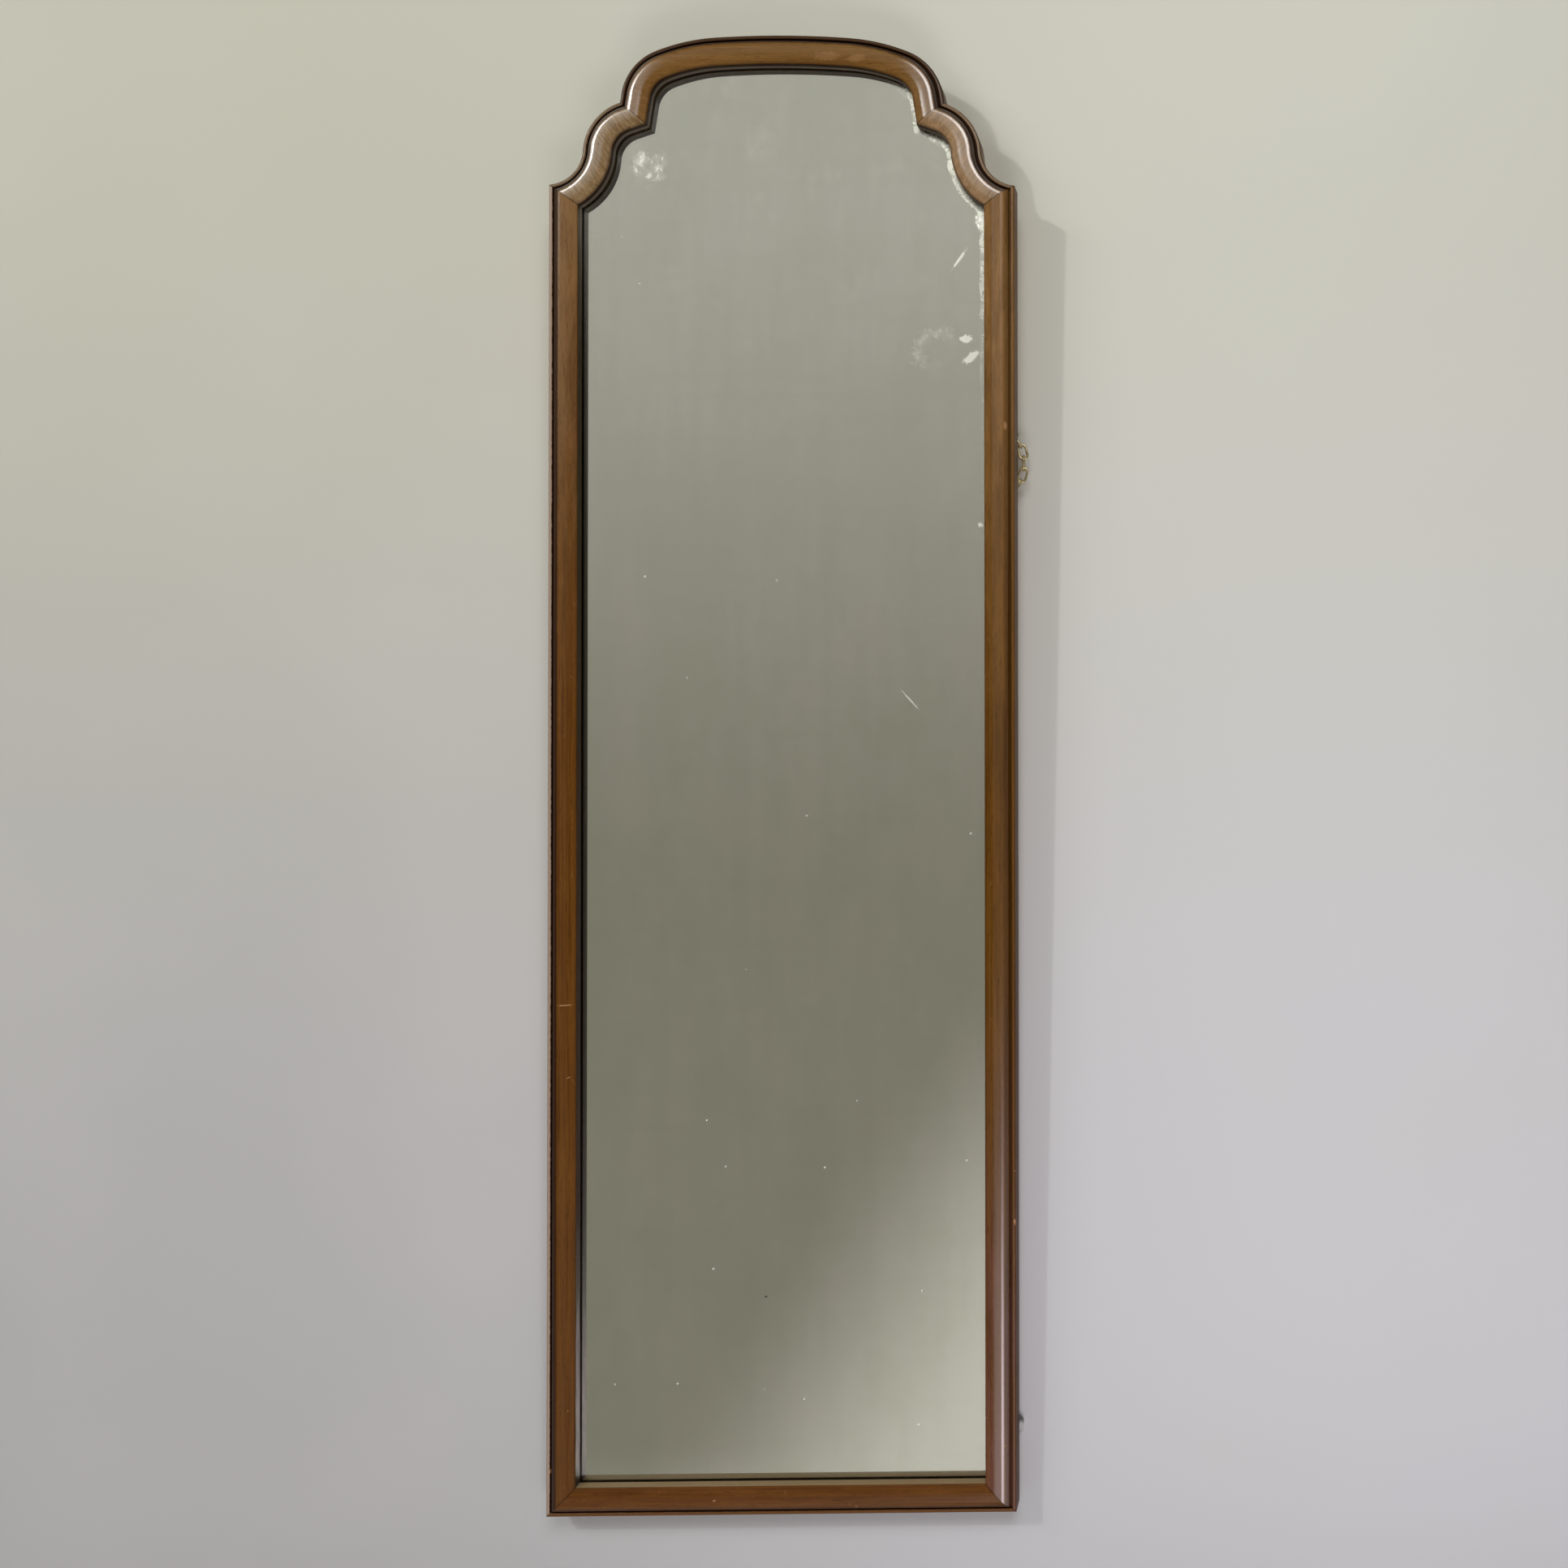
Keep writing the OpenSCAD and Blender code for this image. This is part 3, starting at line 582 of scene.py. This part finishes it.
# %% Glass
def make_glass():
    material, work, shader, place = new_finish("old_glass")
    smear = work.noise(work.stretch(place, (7.0, 1.0, 2.2)), 1.0, 3.0, 0.6)
    cords = work.noise(work.stretch(place, (3.0, 1.0, 70.0)), 1.0, 2.0, 0.5)
    corded = work.math("MULTIPLY", work.step(cords, 0.45, 0.7), 0.12)
    tint = work.mix(corded, colour(248, 249, 247), colour(243, 244, 240))
    work.feed(shader.inputs["Base Color"], tint)
    haze = work.math("MULTIPLY", work.step(smear, 0.45, 0.8), 0.03)
    work.feed(shader.inputs["Roughness"], haze)
    shader.inputs["Transmission Weight"].default_value = 1.0
    shader.inputs["IOR"].default_value = 1.50
    return material


old_glass = make_glass()
print("glass is", round((glass_high.y - glass_low.y) * 1000, 1), "mm thick")

# %% [markdown]
# ## The sheet of glass
# In the CAD part the glass and the silvering touch face to face, which is right for a part but
# leaves a ray no room to leave the glass before it meets the metal. So the visible sheet is a
# copy of the CAD glass, merged into one closed mesh, whose back is drawn forward by a hair.

# %% Glass sheet
def join_loose_faces(piece, reach=0.00001):
    bpy.ops.object.select_all(action="DESELECT")
    piece.select_set(True)
    bpy.context.view_layer.objects.active = piece
    bpy.ops.object.mode_set(mode="EDIT")
    bpy.ops.mesh.select_all(action="SELECT")
    bpy.ops.mesh.remove_doubles(threshold=reach)
    bpy.ops.mesh.normals_make_consistent(inside=False)
    bpy.ops.object.mode_set(mode="OBJECT")


def copy_node(node_name, piece_name):
    """A copy of a CAD node with its own mesh, merged, at the origin."""
    source = nodes[node_name]
    piece = bpy.data.objects.new(piece_name, source.data.copy())
    bpy.context.scene.collection.objects.link(piece)
    join_loose_faces(piece)
    return piece


glass_air, back_reach = 0.00005, 0.0001
glass_sheet = copy_node("mirror_glass", "glass_sheet")
bpy.ops.object.mode_set(mode="EDIT")
bpy.ops.mesh.select_mode(type="VERT")
bpy.ops.mesh.select_all(action="DESELECT")
bpy.ops.object.mode_set(mode="OBJECT")
for point in glass_sheet.data.vertices:
    point.select = point.co.y > glass_high.y - back_reach
bpy.ops.object.mode_set(mode="EDIT")
bpy.ops.transform.translate(value=(0.0, -glass_air, 0.0))
bpy.ops.object.mode_set(mode="OBJECT")
glass_sheet.select_set(False)
glass_sheet.data.materials.clear()
glass_sheet.data.materials.append(old_glass)
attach(glass_sheet, "mirror_frame")
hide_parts("mirror_glass")
print("glass sheet:", len(glass_sheet.data.polygons), "faces, air behind it", glass_air * 1000, "mm")

# %% [markdown]
# ## Silvering: where it has gone
# Damp gets at old silvering in three ways. Single spots and dots flake off and leave it bare. Soft
# clouds, broken up into wisps, dull it near the head. And a ragged band goes pale along the edge of
# the frame, mostly up the right side. Each way is one mask. The larger marks lie where the
# photograph has them, and noise spreads the fine pricks.

# %% Worn silver
dot_shape = (0.0013, 0.0012, 0, 0.85)
bare_dots = [(-0.1300, -0.2484), (-0.0076, -0.2517), (-0.0907, -0.3427), (0.1733, -0.4893),
             (0.0204, -0.4720), (-0.0722, -0.7549), (-0.0548, -0.7980), (0.0370, -0.7994),
             (0.0672, -0.7378), (0.1691, -0.7937), (-0.0661, -0.8927), (0.1275, -0.9147),
             (-0.1567, -0.9985), (-0.0990, -0.9984), (0.0182, -1.0138), (0.1244, -1.0381)]
bare_spots = [(0.1692, -0.0253, 0.0075, 0.0050, 5, 1.0), (0.1738, -0.0429, 0.0110, 0.0045, 40, 1.0),
              (0.1170, -0.3645, 0.0150, 0.0010, -48, 0.8), (0.1632, 0.0497, 0.0020, 0.0140, -35, 0.6),
              (0.1828, -0.2002, 0.0032, 0.0030, 0, 1.0)]
clouded = [(-0.1344, 0.1425, 0.010, 0.012, 30, 0.34), (-0.1192, 0.1387, 0.011, 0.013, -20, 0.30),
           (-0.1290, 0.1300, 0.020, 0.007, -15, 0.26), (-0.0245, 0.1581, 0.019, 0.022, 0, 0.07),
           (0.1139, 0.2052, 0.012, 0.005, -40, 0.5), (0.1230, 0.1905, 0.006, 0.012, 12, 0.4),
           (0.1450, 0.1585, 0.014, 0.004, -30, 0.5), (0.1600, 0.1330, 0.005, 0.014, 22, 0.4),
           (0.1815, 0.0850, 0.004, 0.013, 8, 0.5)]
ring_outside = (0.1388, -0.033, 0.026, 0.020, 34.4)
ring_inside = (0.1410, -0.035, 0.021, 0.015, 34.4)
dark_speck = (-0.0172, -0.9187, 0.0016, 0.0012, 0)


def soft_haze(work, place, clouds):
    """Clouds at known places, one ring and, here and there, fine pricks."""
    ring = work.math("SUBTRACT", lay_mark(work, place, *ring_outside),
                     lay_mark(work, place, *ring_inside), clamp=True)
    soft = work.math("MAXIMUM", lay_marks(work, place, clouded), work.math("MULTIPLY", ring, 0.32))
    wisps = work.noise(work.stretch(place, (95.0, 1.0, 60.0), turn=(0.0, 0.6, 0.0)), 1.0, 5.0, 0.7)
    soft = work.math("MULTIPLY", soft, work.math("ADD", 0.35, work.step(wisps, 0.42, 0.62)))
    soft = work.math("MAXIMUM", soft, work.math("MULTIPLY", clouds, 0.06))
    flat = work.stretch(place, (36.0, 1.0, 36.0))
    cells = work.node("ShaderNodeTexVoronoi", {"Vector": flat, "Scale": 1.0}).outputs["Distance"]
    few = work.step(work.noise(place, 17.0, 2.0), 0.50, 0.60)
    pricks = work.math("MULTIPLY", work.step(cells, 0.034, 0.018), few)
    return work.math("MAXIMUM", soft, work.math("MULTIPLY", pricks, 0.55))


def worn_rim(work, place):
    """A ragged band inside the sight edge, strongest at the right of the head."""
    x, y, z = work.axes(place)
    across = place_group(work, across_moulding, {"Place": place})["Across"]
    right_half = work.step(x, 0.05, 0.16)
    uneven = work.math("SUBTRACT", work.noise(place, 60.0, 4.0, 0.65), 0.42)
    wander = work.math("ADD", work.math("MULTIPLY", uneven, 0.006),
                       work.math("MULTIPLY", right_half, 0.0028))
    past = work.math("SUBTRACT", across, wander)
    rim = work.math("MULTIPLY", work.step(past, member_width + 0.0040, member_width + 0.0017),
                    work.step(across, member_width - 0.006, member_width - 0.002))
    near_notch = work.math("MULTIPLY", work.step(z, -0.35, 0.14), work.step(x, 0.08, 0.13))
    strength = work.math("ADD", 0.05, work.math("MULTIPLY", right_half, 0.07))
    strength = work.math("ADD", strength, work.math("MULTIPLY", near_notch, 0.45))
    mottled = work.step(work.noise(place, 150.0, 4.0, 0.7), 0.38, 0.60)
    broken = work.math("ADD", 0.50, work.math("MULTIPLY", mottled, 0.6))
    return work.math("MULTIPLY", work.math("MULTIPLY", rim, strength), broken)


print("bare places:", len(bare_dots) + len(bare_spots), "clouds:", len(clouded))

# %% [markdown]
# ## Silvering: the metal
# The silvering is nearly a perfect mirror. Faint blotches and streaks shift its colour, faint level
# bands cross it below the head, and haze roughens it. Where it has flaked off, the metal is gone and
# the pale backing shows, so there the Metallic value falls as well.

# %% Silvering
def make_silvering():
    material, work, shader, place = new_finish("old_silvering")
    z = work.axes(place)[2]
    cloud = work.noise(work.stretch(place, (26.0, 1.0, 20.0)), 1.0, 5.0, 0.65)
    near_head = work.math("ADD", 0.25, work.step(z, -0.05, 0.12))
    clouds = work.math("MULTIPLY", work.step(cloud, 0.55, 0.72), near_head)
    dots = lay_marks(work, place, [dot + dot_shape for dot in bare_dots] + bare_spots)
    soft = soft_haze(work, place, clouds)
    rim = worn_rim(work, place)
    haze = work.math("MAXIMUM", dots, work.math("MAXIMUM", soft, rim))
    blotches = work.noise(work.stretch(place, (11.0, 1.0, 7.0), move=(0.4, 0.0, 0.9)), 1.0, 5.0, 0.62)
    streaks = work.noise(work.stretch(place, (46.0, 1.0, 3.2)), 1.0, 4.0, 0.6)
    bands = work.noise(work.stretch(place, (0.8, 1.0, 26.0)), 1.0, 2.0, 0.5)
    belt = work.math("MULTIPLY", bands, work.between(z, -0.20, -0.06, 0.05))
    silver = work.mix(work.math("MULTIPLY", clouds, 0.10), colour(226, 223, 218), colour(214, 208, 190))
    for mask, strength, tone in [(work.step(blotches, 0.36, 0.64), 0.8, colour(217, 218, 208)),
                                 (work.step(streaks, 0.38, 0.64), 0.2, colour(213, 212, 206)),
                                 (belt, 0.15, colour(206, 204, 198))]:
        silver = work.mix(work.math("MULTIPLY", mask, strength), silver, tone)
    silver = work.mix(rim, silver, colour(198, 199, 187))
    flaked = work.math("MAXIMUM", dots, work.math("MULTIPLY", soft, 1.8))
    silver = work.mix(flaked, silver, colour(250, 250, 241))
    silver = work.mix(lay_mark(work, place, *dark_speck), silver, colour(70, 64, 56))
    work.feed(shader.inputs["Base Color"], silver)
    rough = work.math("ADD", 0.015, work.math("MULTIPLY", clouds, 0.06))
    work.feed(shader.inputs["Roughness"], work.math("ADD", rough, work.math("MULTIPLY", haze, 0.55)))
    gone = work.math("MAXIMUM", work.math("MULTIPLY", dots, 0.9), work.math("MULTIPLY", soft, 0.7))
    work.feed(shader.inputs["Metallic"], work.math("SUBTRACT", 1.0, gone))
    return material


paint("silvering", make_silvering())
print("silvering done")

# %% [markdown]
# ## Hidden layers: felt and pine
# Behind the silvering lies a grey-brown felt, and behind that three thin pine boards, never
# polished. Pine has wide, soft growth bands, and age has darkened these boards in patches. The
# blocks that hold the glass are the same softwood, and every grain here stands upright.

# %% Felt and pine
def make_felt():
    material, work, shader, place = new_finish("grey_felt")
    fibre = work.noise(work.stretch(place, (900.0, 900.0, 500.0)), 1.0, 4.0, 0.7)
    work.feed(shader.inputs["Base Color"], work.mix(fibre, colour(88, 80, 68), colour(132, 122, 106)))
    shader.inputs["Roughness"].default_value = 0.95
    bump = work.node("ShaderNodeBump", {"Height": fibre, "Strength": 0.5, "Distance": 0.0004})
    work.feed(shader.inputs["Normal"], bump.outputs[0])
    return material


def make_pine(name, move):
    material, work, shader, place = new_finish(name)
    along = work.stretch(place, (1.0, 1.0, 1.0), move=move)
    rings = work.noise(work.stretch(along, (46.0, 8.0, 1.6)), 1.0, 3.0, 0.5, 0.8)
    growth = work.math("FRACT", work.math("MULTIPLY", rings, 9.0))
    late_wood = work.step(growth, 0.55, 0.95)
    fibre = work.noise(work.stretch(along, (600.0, 600.0, 14.0)), 1.0, 4.0, 0.6)
    age = work.noise(work.stretch(place, (7.0, 7.0, 4.0)), 1.0, 4.0, 0.6)
    wood = work.mix(late_wood, colour(186, 150, 104), colour(156, 112, 66))
    wood = work.mix(work.math("MULTIPLY", fibre, 0.35), wood, colour(132, 96, 58))
    wood = work.mix(work.step(age, 0.45, 0.75), wood, colour(134, 104, 70))
    work.feed(shader.inputs["Base Color"], wood)
    shader.inputs["Roughness"].default_value = 0.78
    bump = work.node("ShaderNodeBump", {"Height": fibre, "Strength": 0.35, "Distance": 0.0003})
    work.feed(shader.inputs["Normal"], bump.outputs[0])
    return material


paint("backing_felt", make_felt())
for board, move in {"upper_backboard": (0.0, 0.0, 0.0), "middle_backboard": (3.1, 0.2, 1.3),
                    "lower_backboard": (5.7, 0.5, 2.9)}.items():
    paint(board, make_pine("pine_" + board, move))
paint("glass_blocks", make_pine("pine_blocks", (1.7, 0.9, 0.4)))
print("felt and pine done")

# %% [markdown]
# ## Metal: brass chain, screw eyes, steel brads and mitre nails
# The chain and the eyes are brass that has browned in patches and small spots. The brads and the
# mitre nails are steel with a thin brown rust. Both metals are one recipe with two sets of colours.

# %% Metals
def make_metal(name, bright, dull, spots, rough, grain_scale):
    material, work, shader, place = new_finish(name)
    cloud = work.noise(place, grain_scale, 4.0, 0.6)
    fleck = work.noise(place, grain_scale * 5.0, 3.0, 0.6)
    metal = work.mix(work.step(cloud, 0.35, 0.65), bright, dull)
    metal = work.mix(work.step(fleck, 0.60, 0.72), metal, spots)
    work.feed(shader.inputs["Base Color"], metal)
    work.feed(shader.inputs["Roughness"], work.math("ADD", rough, work.math("MULTIPLY", cloud, 0.25)))
    shader.inputs["Metallic"].default_value = 1.0
    bump = work.node("ShaderNodeBump", {"Height": fleck, "Strength": 0.15, "Distance": 0.0001})
    work.feed(shader.inputs["Normal"], bump.outputs[0])
    return material


old_brass = make_metal("old_brass", colour(206, 192, 150), colour(148, 136, 102), colour(74, 62, 42),
                       0.24, 220.0)
old_steel = make_metal("old_steel", colour(150, 148, 142), colour(112, 100, 88), colour(86, 56, 36),
                       0.38, 400.0)
for piece in ("left_chain", "right_chain", "hook_link", "chain_tail", "left_screw_eye",
              "right_screw_eye"):
    paint(piece, old_brass)
for piece in ("backboard_brads", "mitre_nails"):
    paint(piece, old_steel)
print("metals done")

# %% [markdown]
# ## Bumpers
# Two turned discs keep the foot of the frame off the wall. They are grey and matt, with pale dust in
# the surface, and painted shade darkens their upper part. The shade goes by height, so both share one
# finish.

# %% Bumpers
bumper_low, bumper_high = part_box("right_bumper")
bumper_middle = (bumper_low.z + bumper_high.z) / 2


def make_bumper():
    material, work, shader, place = new_finish("grey_bumper")
    x, y, z = work.axes(place)
    mottle = work.noise(place, 380.0, 4.0, 0.6)
    dusty = work.mix(mottle, colour(146, 145, 147), colour(176, 175, 175))
    # painted shade on the upper part of each disc
    shaded = work.step(z, bumper_middle - 0.001, bumper_middle + 0.005)
    work.feed(shader.inputs["Base Color"], work.mix(shaded, dusty, colour(62, 60, 62)))
    shader.inputs["Roughness"].default_value = 0.7
    bump = work.node("ShaderNodeBump", {"Height": mottle, "Strength": 0.3, "Distance": 0.0003})
    work.feed(shader.inputs["Normal"], bump.outputs[0])
    return material


grey_bumper = make_bumper()
for piece in ("left_bumper", "right_bumper"):
    paint(piece, grey_bumper)
print("bumpers done")

# %% [markdown]
# ## Wall
# The mirror hangs on a pale wall and leans out a little at its head, so the wall falls away from
# the frame towards the top, which is why the shadow is wider there. The wall is only for pictures.
# Seen from behind, it lets us look through at the back of the mirror, and light that it would
# throw back on the frame passes through it too.

# %% Wall
wall_lean, wall_gap, wall_size = math.atan(0.0215), 0.0006, 9.0


def flat_sheet(name, size, place, turn):
    bpy.ops.mesh.primitive_plane_add(size=size, location=place, rotation=turn)
    sheet = bpy.context.object
    sheet.name = name
    bpy.ops.object.transform_apply(location=True, rotation=True, scale=True)
    sheet.select_set(False)
    return sheet


def make_wall_finish():
    material, work, shader, place = new_finish("pale_wall")
    x, y, z = work.axes(place)
    mottle = work.noise(place, 2.4, 3.0, 0.5)
    plaster = work.noise(place, 90.0, 3.0, 0.5)
    # The wall's tones are painted shade: darker to the left and lower down, lighter to the right.
    low = work.mix(work.step(x, -0.5, 0.6), colour(156, 157, 158), colour(180, 182, 187))
    high = work.mix(work.step(x, -0.5, 0.6), colour(166, 166, 153), colour(181, 183, 173))
    tone = work.mix(work.step(z, -0.9, 0.2), low, high)
    tone = work.mix(work.math("MULTIPLY", work.step(mottle, 0.4, 0.7), 0.20), tone, colour(176, 176, 172))
    work.feed(shader.inputs["Base Color"], tone)
    shader.inputs["Roughness"].default_value = 0.9
    bump = work.node("ShaderNodeBump", {"Height": plaster, "Strength": 0.05, "Distance": 0.0005})
    work.feed(shader.inputs["Normal"], bump.outputs[0])
    rays = work.node("ShaderNodeLightPath").outputs
    mirrored = work.math("MAXIMUM", rays["Is Glossy Ray"], rays["Is Transmission Ray"])
    seen = work.math("MAXIMUM", rays["Is Camera Ray"], mirrored)
    behind = work.node("ShaderNodeNewGeometry").outputs["Backfacing"]
    solid = work.math("MULTIPLY", seen, work.math("SUBTRACT", 1.0, behind))
    show_where(work, shader, solid)
    return material


wall_place = (0.0, bumper_high.y + wall_gap, bumper_low.z)
wall = flat_sheet("wall", wall_size, wall_place, (math.radians(90.0) - wall_lean, 0.0, 0.0))
wall.data.materials.append(make_wall_finish())
print("wall leans", round(math.degrees(wall_lean), 2), "degrees")

# %% [markdown]
# ## Floor
# The floor lies below the mirror and stays out of the front picture. It gives the views from other
# sides something to stand on, and it fades out towards its own borders.

# %% Floor
floor_size, floor_drop = 6.0, 0.45


def make_floor_finish():
    material, work, shader, place = new_finish("pale_floor")
    x, y, z = work.axes(place)
    mottle = work.noise(place, 3.0, 3.0, 0.5)
    work.feed(shader.inputs["Base Color"], work.mix(mottle, colour(214, 213, 210), colour(222, 221, 218)))
    shader.inputs["Roughness"].default_value = 0.85
    front = work.step(y, -1.1, -0.5)
    sides = work.step(work.math("ABSOLUTE", x), 2.4, 1.4)
    back = work.step(y, 1.6, 0.9)
    shown = work.math("MULTIPLY", front, work.math("MULTIPLY", sides, back))
    show_where(work, shader, shown)
    return material


floor = flat_sheet("floor", floor_size, (0.0, 0.0, foot - floor_drop), (0.0, 0.0, 0.0))
floor.data.materials.append(make_floor_finish())
print("floor at", round(foot - floor_drop, 3))

# %% [markdown]
# ## Camera
# The photograph was taken from the right of the mirror, level with its middle. The lens shift puts
# the frame where the photograph has it without tilting the picture plane, which keeps the stiles
# straight. The values come from fitting the corners of the frame in the photograph.

# %% Camera
eye = Vector((0.4021, -1.4375, foot + 0.7391))
yaw, pitch, roll = 0.0148, -0.0117, -0.0032
focal, centre_x, centre_y, side = 1858.4, 1524.7, 855.5, 1932.0  # in pixels of the photograph
film = 36.0  # mm


def turned(axis, angle):
    c, s = math.cos(angle), math.sin(angle)
    rows = {"yaw": ((c, 0, -s), (0, 1, 0), (s, 0, c)), "pitch": ((1, 0, 0), (0, c, -s), (0, s, c)),
            "roll": ((c, -s, 0), (s, c, 0), (0, 0, 1))}[axis]
    return Matrix(rows)


looks = turned("roll", roll) @ turned("pitch", pitch) @ turned("yaw", yaw)
right, down, ahead = (Vector((row[0], row[2], -row[1])) for row in looks)
camera_data = bpy.data.cameras.new("camera")
camera_data.sensor_width = film
camera_data.lens = film * focal / side
camera_data.shift_x = (side / 2 - centre_x) / side
camera_data.shift_y = (centre_y - side / 2) / side
camera_data.clip_start, camera_data.clip_end = 0.05, 50.0
camera = bpy.data.objects.new("camera", camera_data)
turn = Matrix((right, -down, -ahead)).transposed().to_4x4()
camera.matrix_world = Matrix.Translation(eye) @ turn
bpy.context.scene.collection.objects.link(camera)
bpy.context.scene.camera = camera
print("lens", round(camera_data.lens, 2),
      "shift", round(camera_data.shift_x, 3), round(camera_data.shift_y, 3))

# %% [markdown]
# ## Light
# The lamps stand where the highlights on the cushion and the shadow on the wall say they do: a
# small one high on the left throws the crisp shadow, and a broad one beside it gives the left
# shoulder its long white highlight. Broad ones high and low on the right light the right-hand
# members, and two lamps behind keep the back readable.

# %% Lamps
head = Vector((0.0, 0.0, 0.13))
lamp_distance = 3.2
key_place = (-36, 22)


def lamp_place(across_deg, rise_deg, distance=lamp_distance, seen_from=head):
    """A place in front of the mirror, seen from its head across to the right and up, in degrees."""
    across, rise = math.radians(across_deg), math.radians(rise_deg)
    way = Vector((math.sin(across), -math.cos(across), math.tan(rise)))
    return seen_from + way * distance


def soft_lamp(name, place, wide, high, power, tint=(1.0, 1.0, 1.0), aim=head):
    data = bpy.data.lights.new(name, "AREA")
    data.shape = "RECTANGLE"
    data.size, data.size_y = wide, high
    data.energy = power
    data.color = tint
    lamp = bpy.data.objects.new(name, data)
    lamp.location = place
    lamp.rotation_mode = "QUATERNION"
    lamp.rotation_quaternion = (aim - Vector(place)).to_track_quat("-Z", "Y")
    bpy.context.scene.collection.objects.link(lamp)


middle = Vector((0.0, 0.0, (crest_top + foot) / 2))
low_right = Vector((0.2, 0.0, foot + 0.1))
soft_lamp("key", lamp_place(*key_place), 0.12, 0.12, 32.0, (1.0, 0.985, 0.95), middle)
soft_lamp("left_window", lamp_place(-46, 21), 2.0, 0.90, 36.0, (1.0, 0.99, 0.96))
soft_lamp("right_window", lamp_place(14, 30), 1.9, 1.5, 80.0, (1.0, 0.985, 0.975))
soft_lamp("low_window", lamp_place(12, -28, 2.2, low_right), 1.3, 0.65, 34.0, (1.0, 0.88, 0.91), low_right)
soft_lamp("back_left", (-2.2, 3.0, middle.z + 1.6), 1.6, 1.6, 30.0)
soft_lamp("back_right", (2.6, 2.6, middle.z + 0.6), 1.6, 1.6, 20.0)
print("lamps:", len(bpy.data.lights), "key at", [round(v, 2) for v in lamp_place(*key_place)])

# %% [markdown]
# ## Surroundings
# The glass shows what lies opposite: plain grey, lighter above and towards the lower right. Beyond
# that, the surroundings are middling grey on the right and dim on the left and overhead, which
# keeps the outer skirts of the moulding dark. They are pale behind the wall.

# %% Surroundings
def make_surroundings():
    world = bpy.data.worlds.new("surroundings")
    bpy.context.scene.world = world
    world.use_nodes = True
    world.node_tree.nodes.clear()
    work = Finish(world.node_tree)
    x, y, z = work.axes(work.node("ShaderNodeTexCoord").outputs["Generated"])
    ahead = work.math("MAXIMUM", work.math("MULTIPLY", y, -1.0), 0.05)
    across = work.math("DIVIDE", x, ahead)
    rise = work.math("DIVIDE", z, ahead)
    upper = work.mix(work.step(rise, -0.15, 0.42), colour(148, 145, 133), colour(199, 197, 190))
    slant = work.math("ADD", work.math("MULTIPLY", across, 1.56), work.math("MULTIPLY", rise, -1.0))
    lower = work.mix(work.step(slant, -0.10, 0.24), upper, colour(224, 222, 214))
    opposite = work.mix(work.step(rise, -0.10, -0.32), upper, lower)
    right_side = work.mix(work.step(across, -0.10, 0.12), opposite, colour(140, 138, 137))
    left_side = work.mix(work.step(across, -0.50, -0.75), right_side, colour(98, 96, 92))
    overhead = work.mix(work.step(z, 0.40, 0.62), left_side, colour(84, 84, 82))
    behind = work.mix(work.step(y, -0.15, 0.25), overhead, colour(214, 213, 210))
    background = work.node("ShaderNodeBackground", {"Color": behind, "Strength": 1.0})
    output = work.node("ShaderNodeOutputWorld")
    work.feed(output.inputs["Surface"], background.outputs[0])


make_surroundings()
bpy.context.scene.view_settings.view_transform = "Standard"
print("world ready")
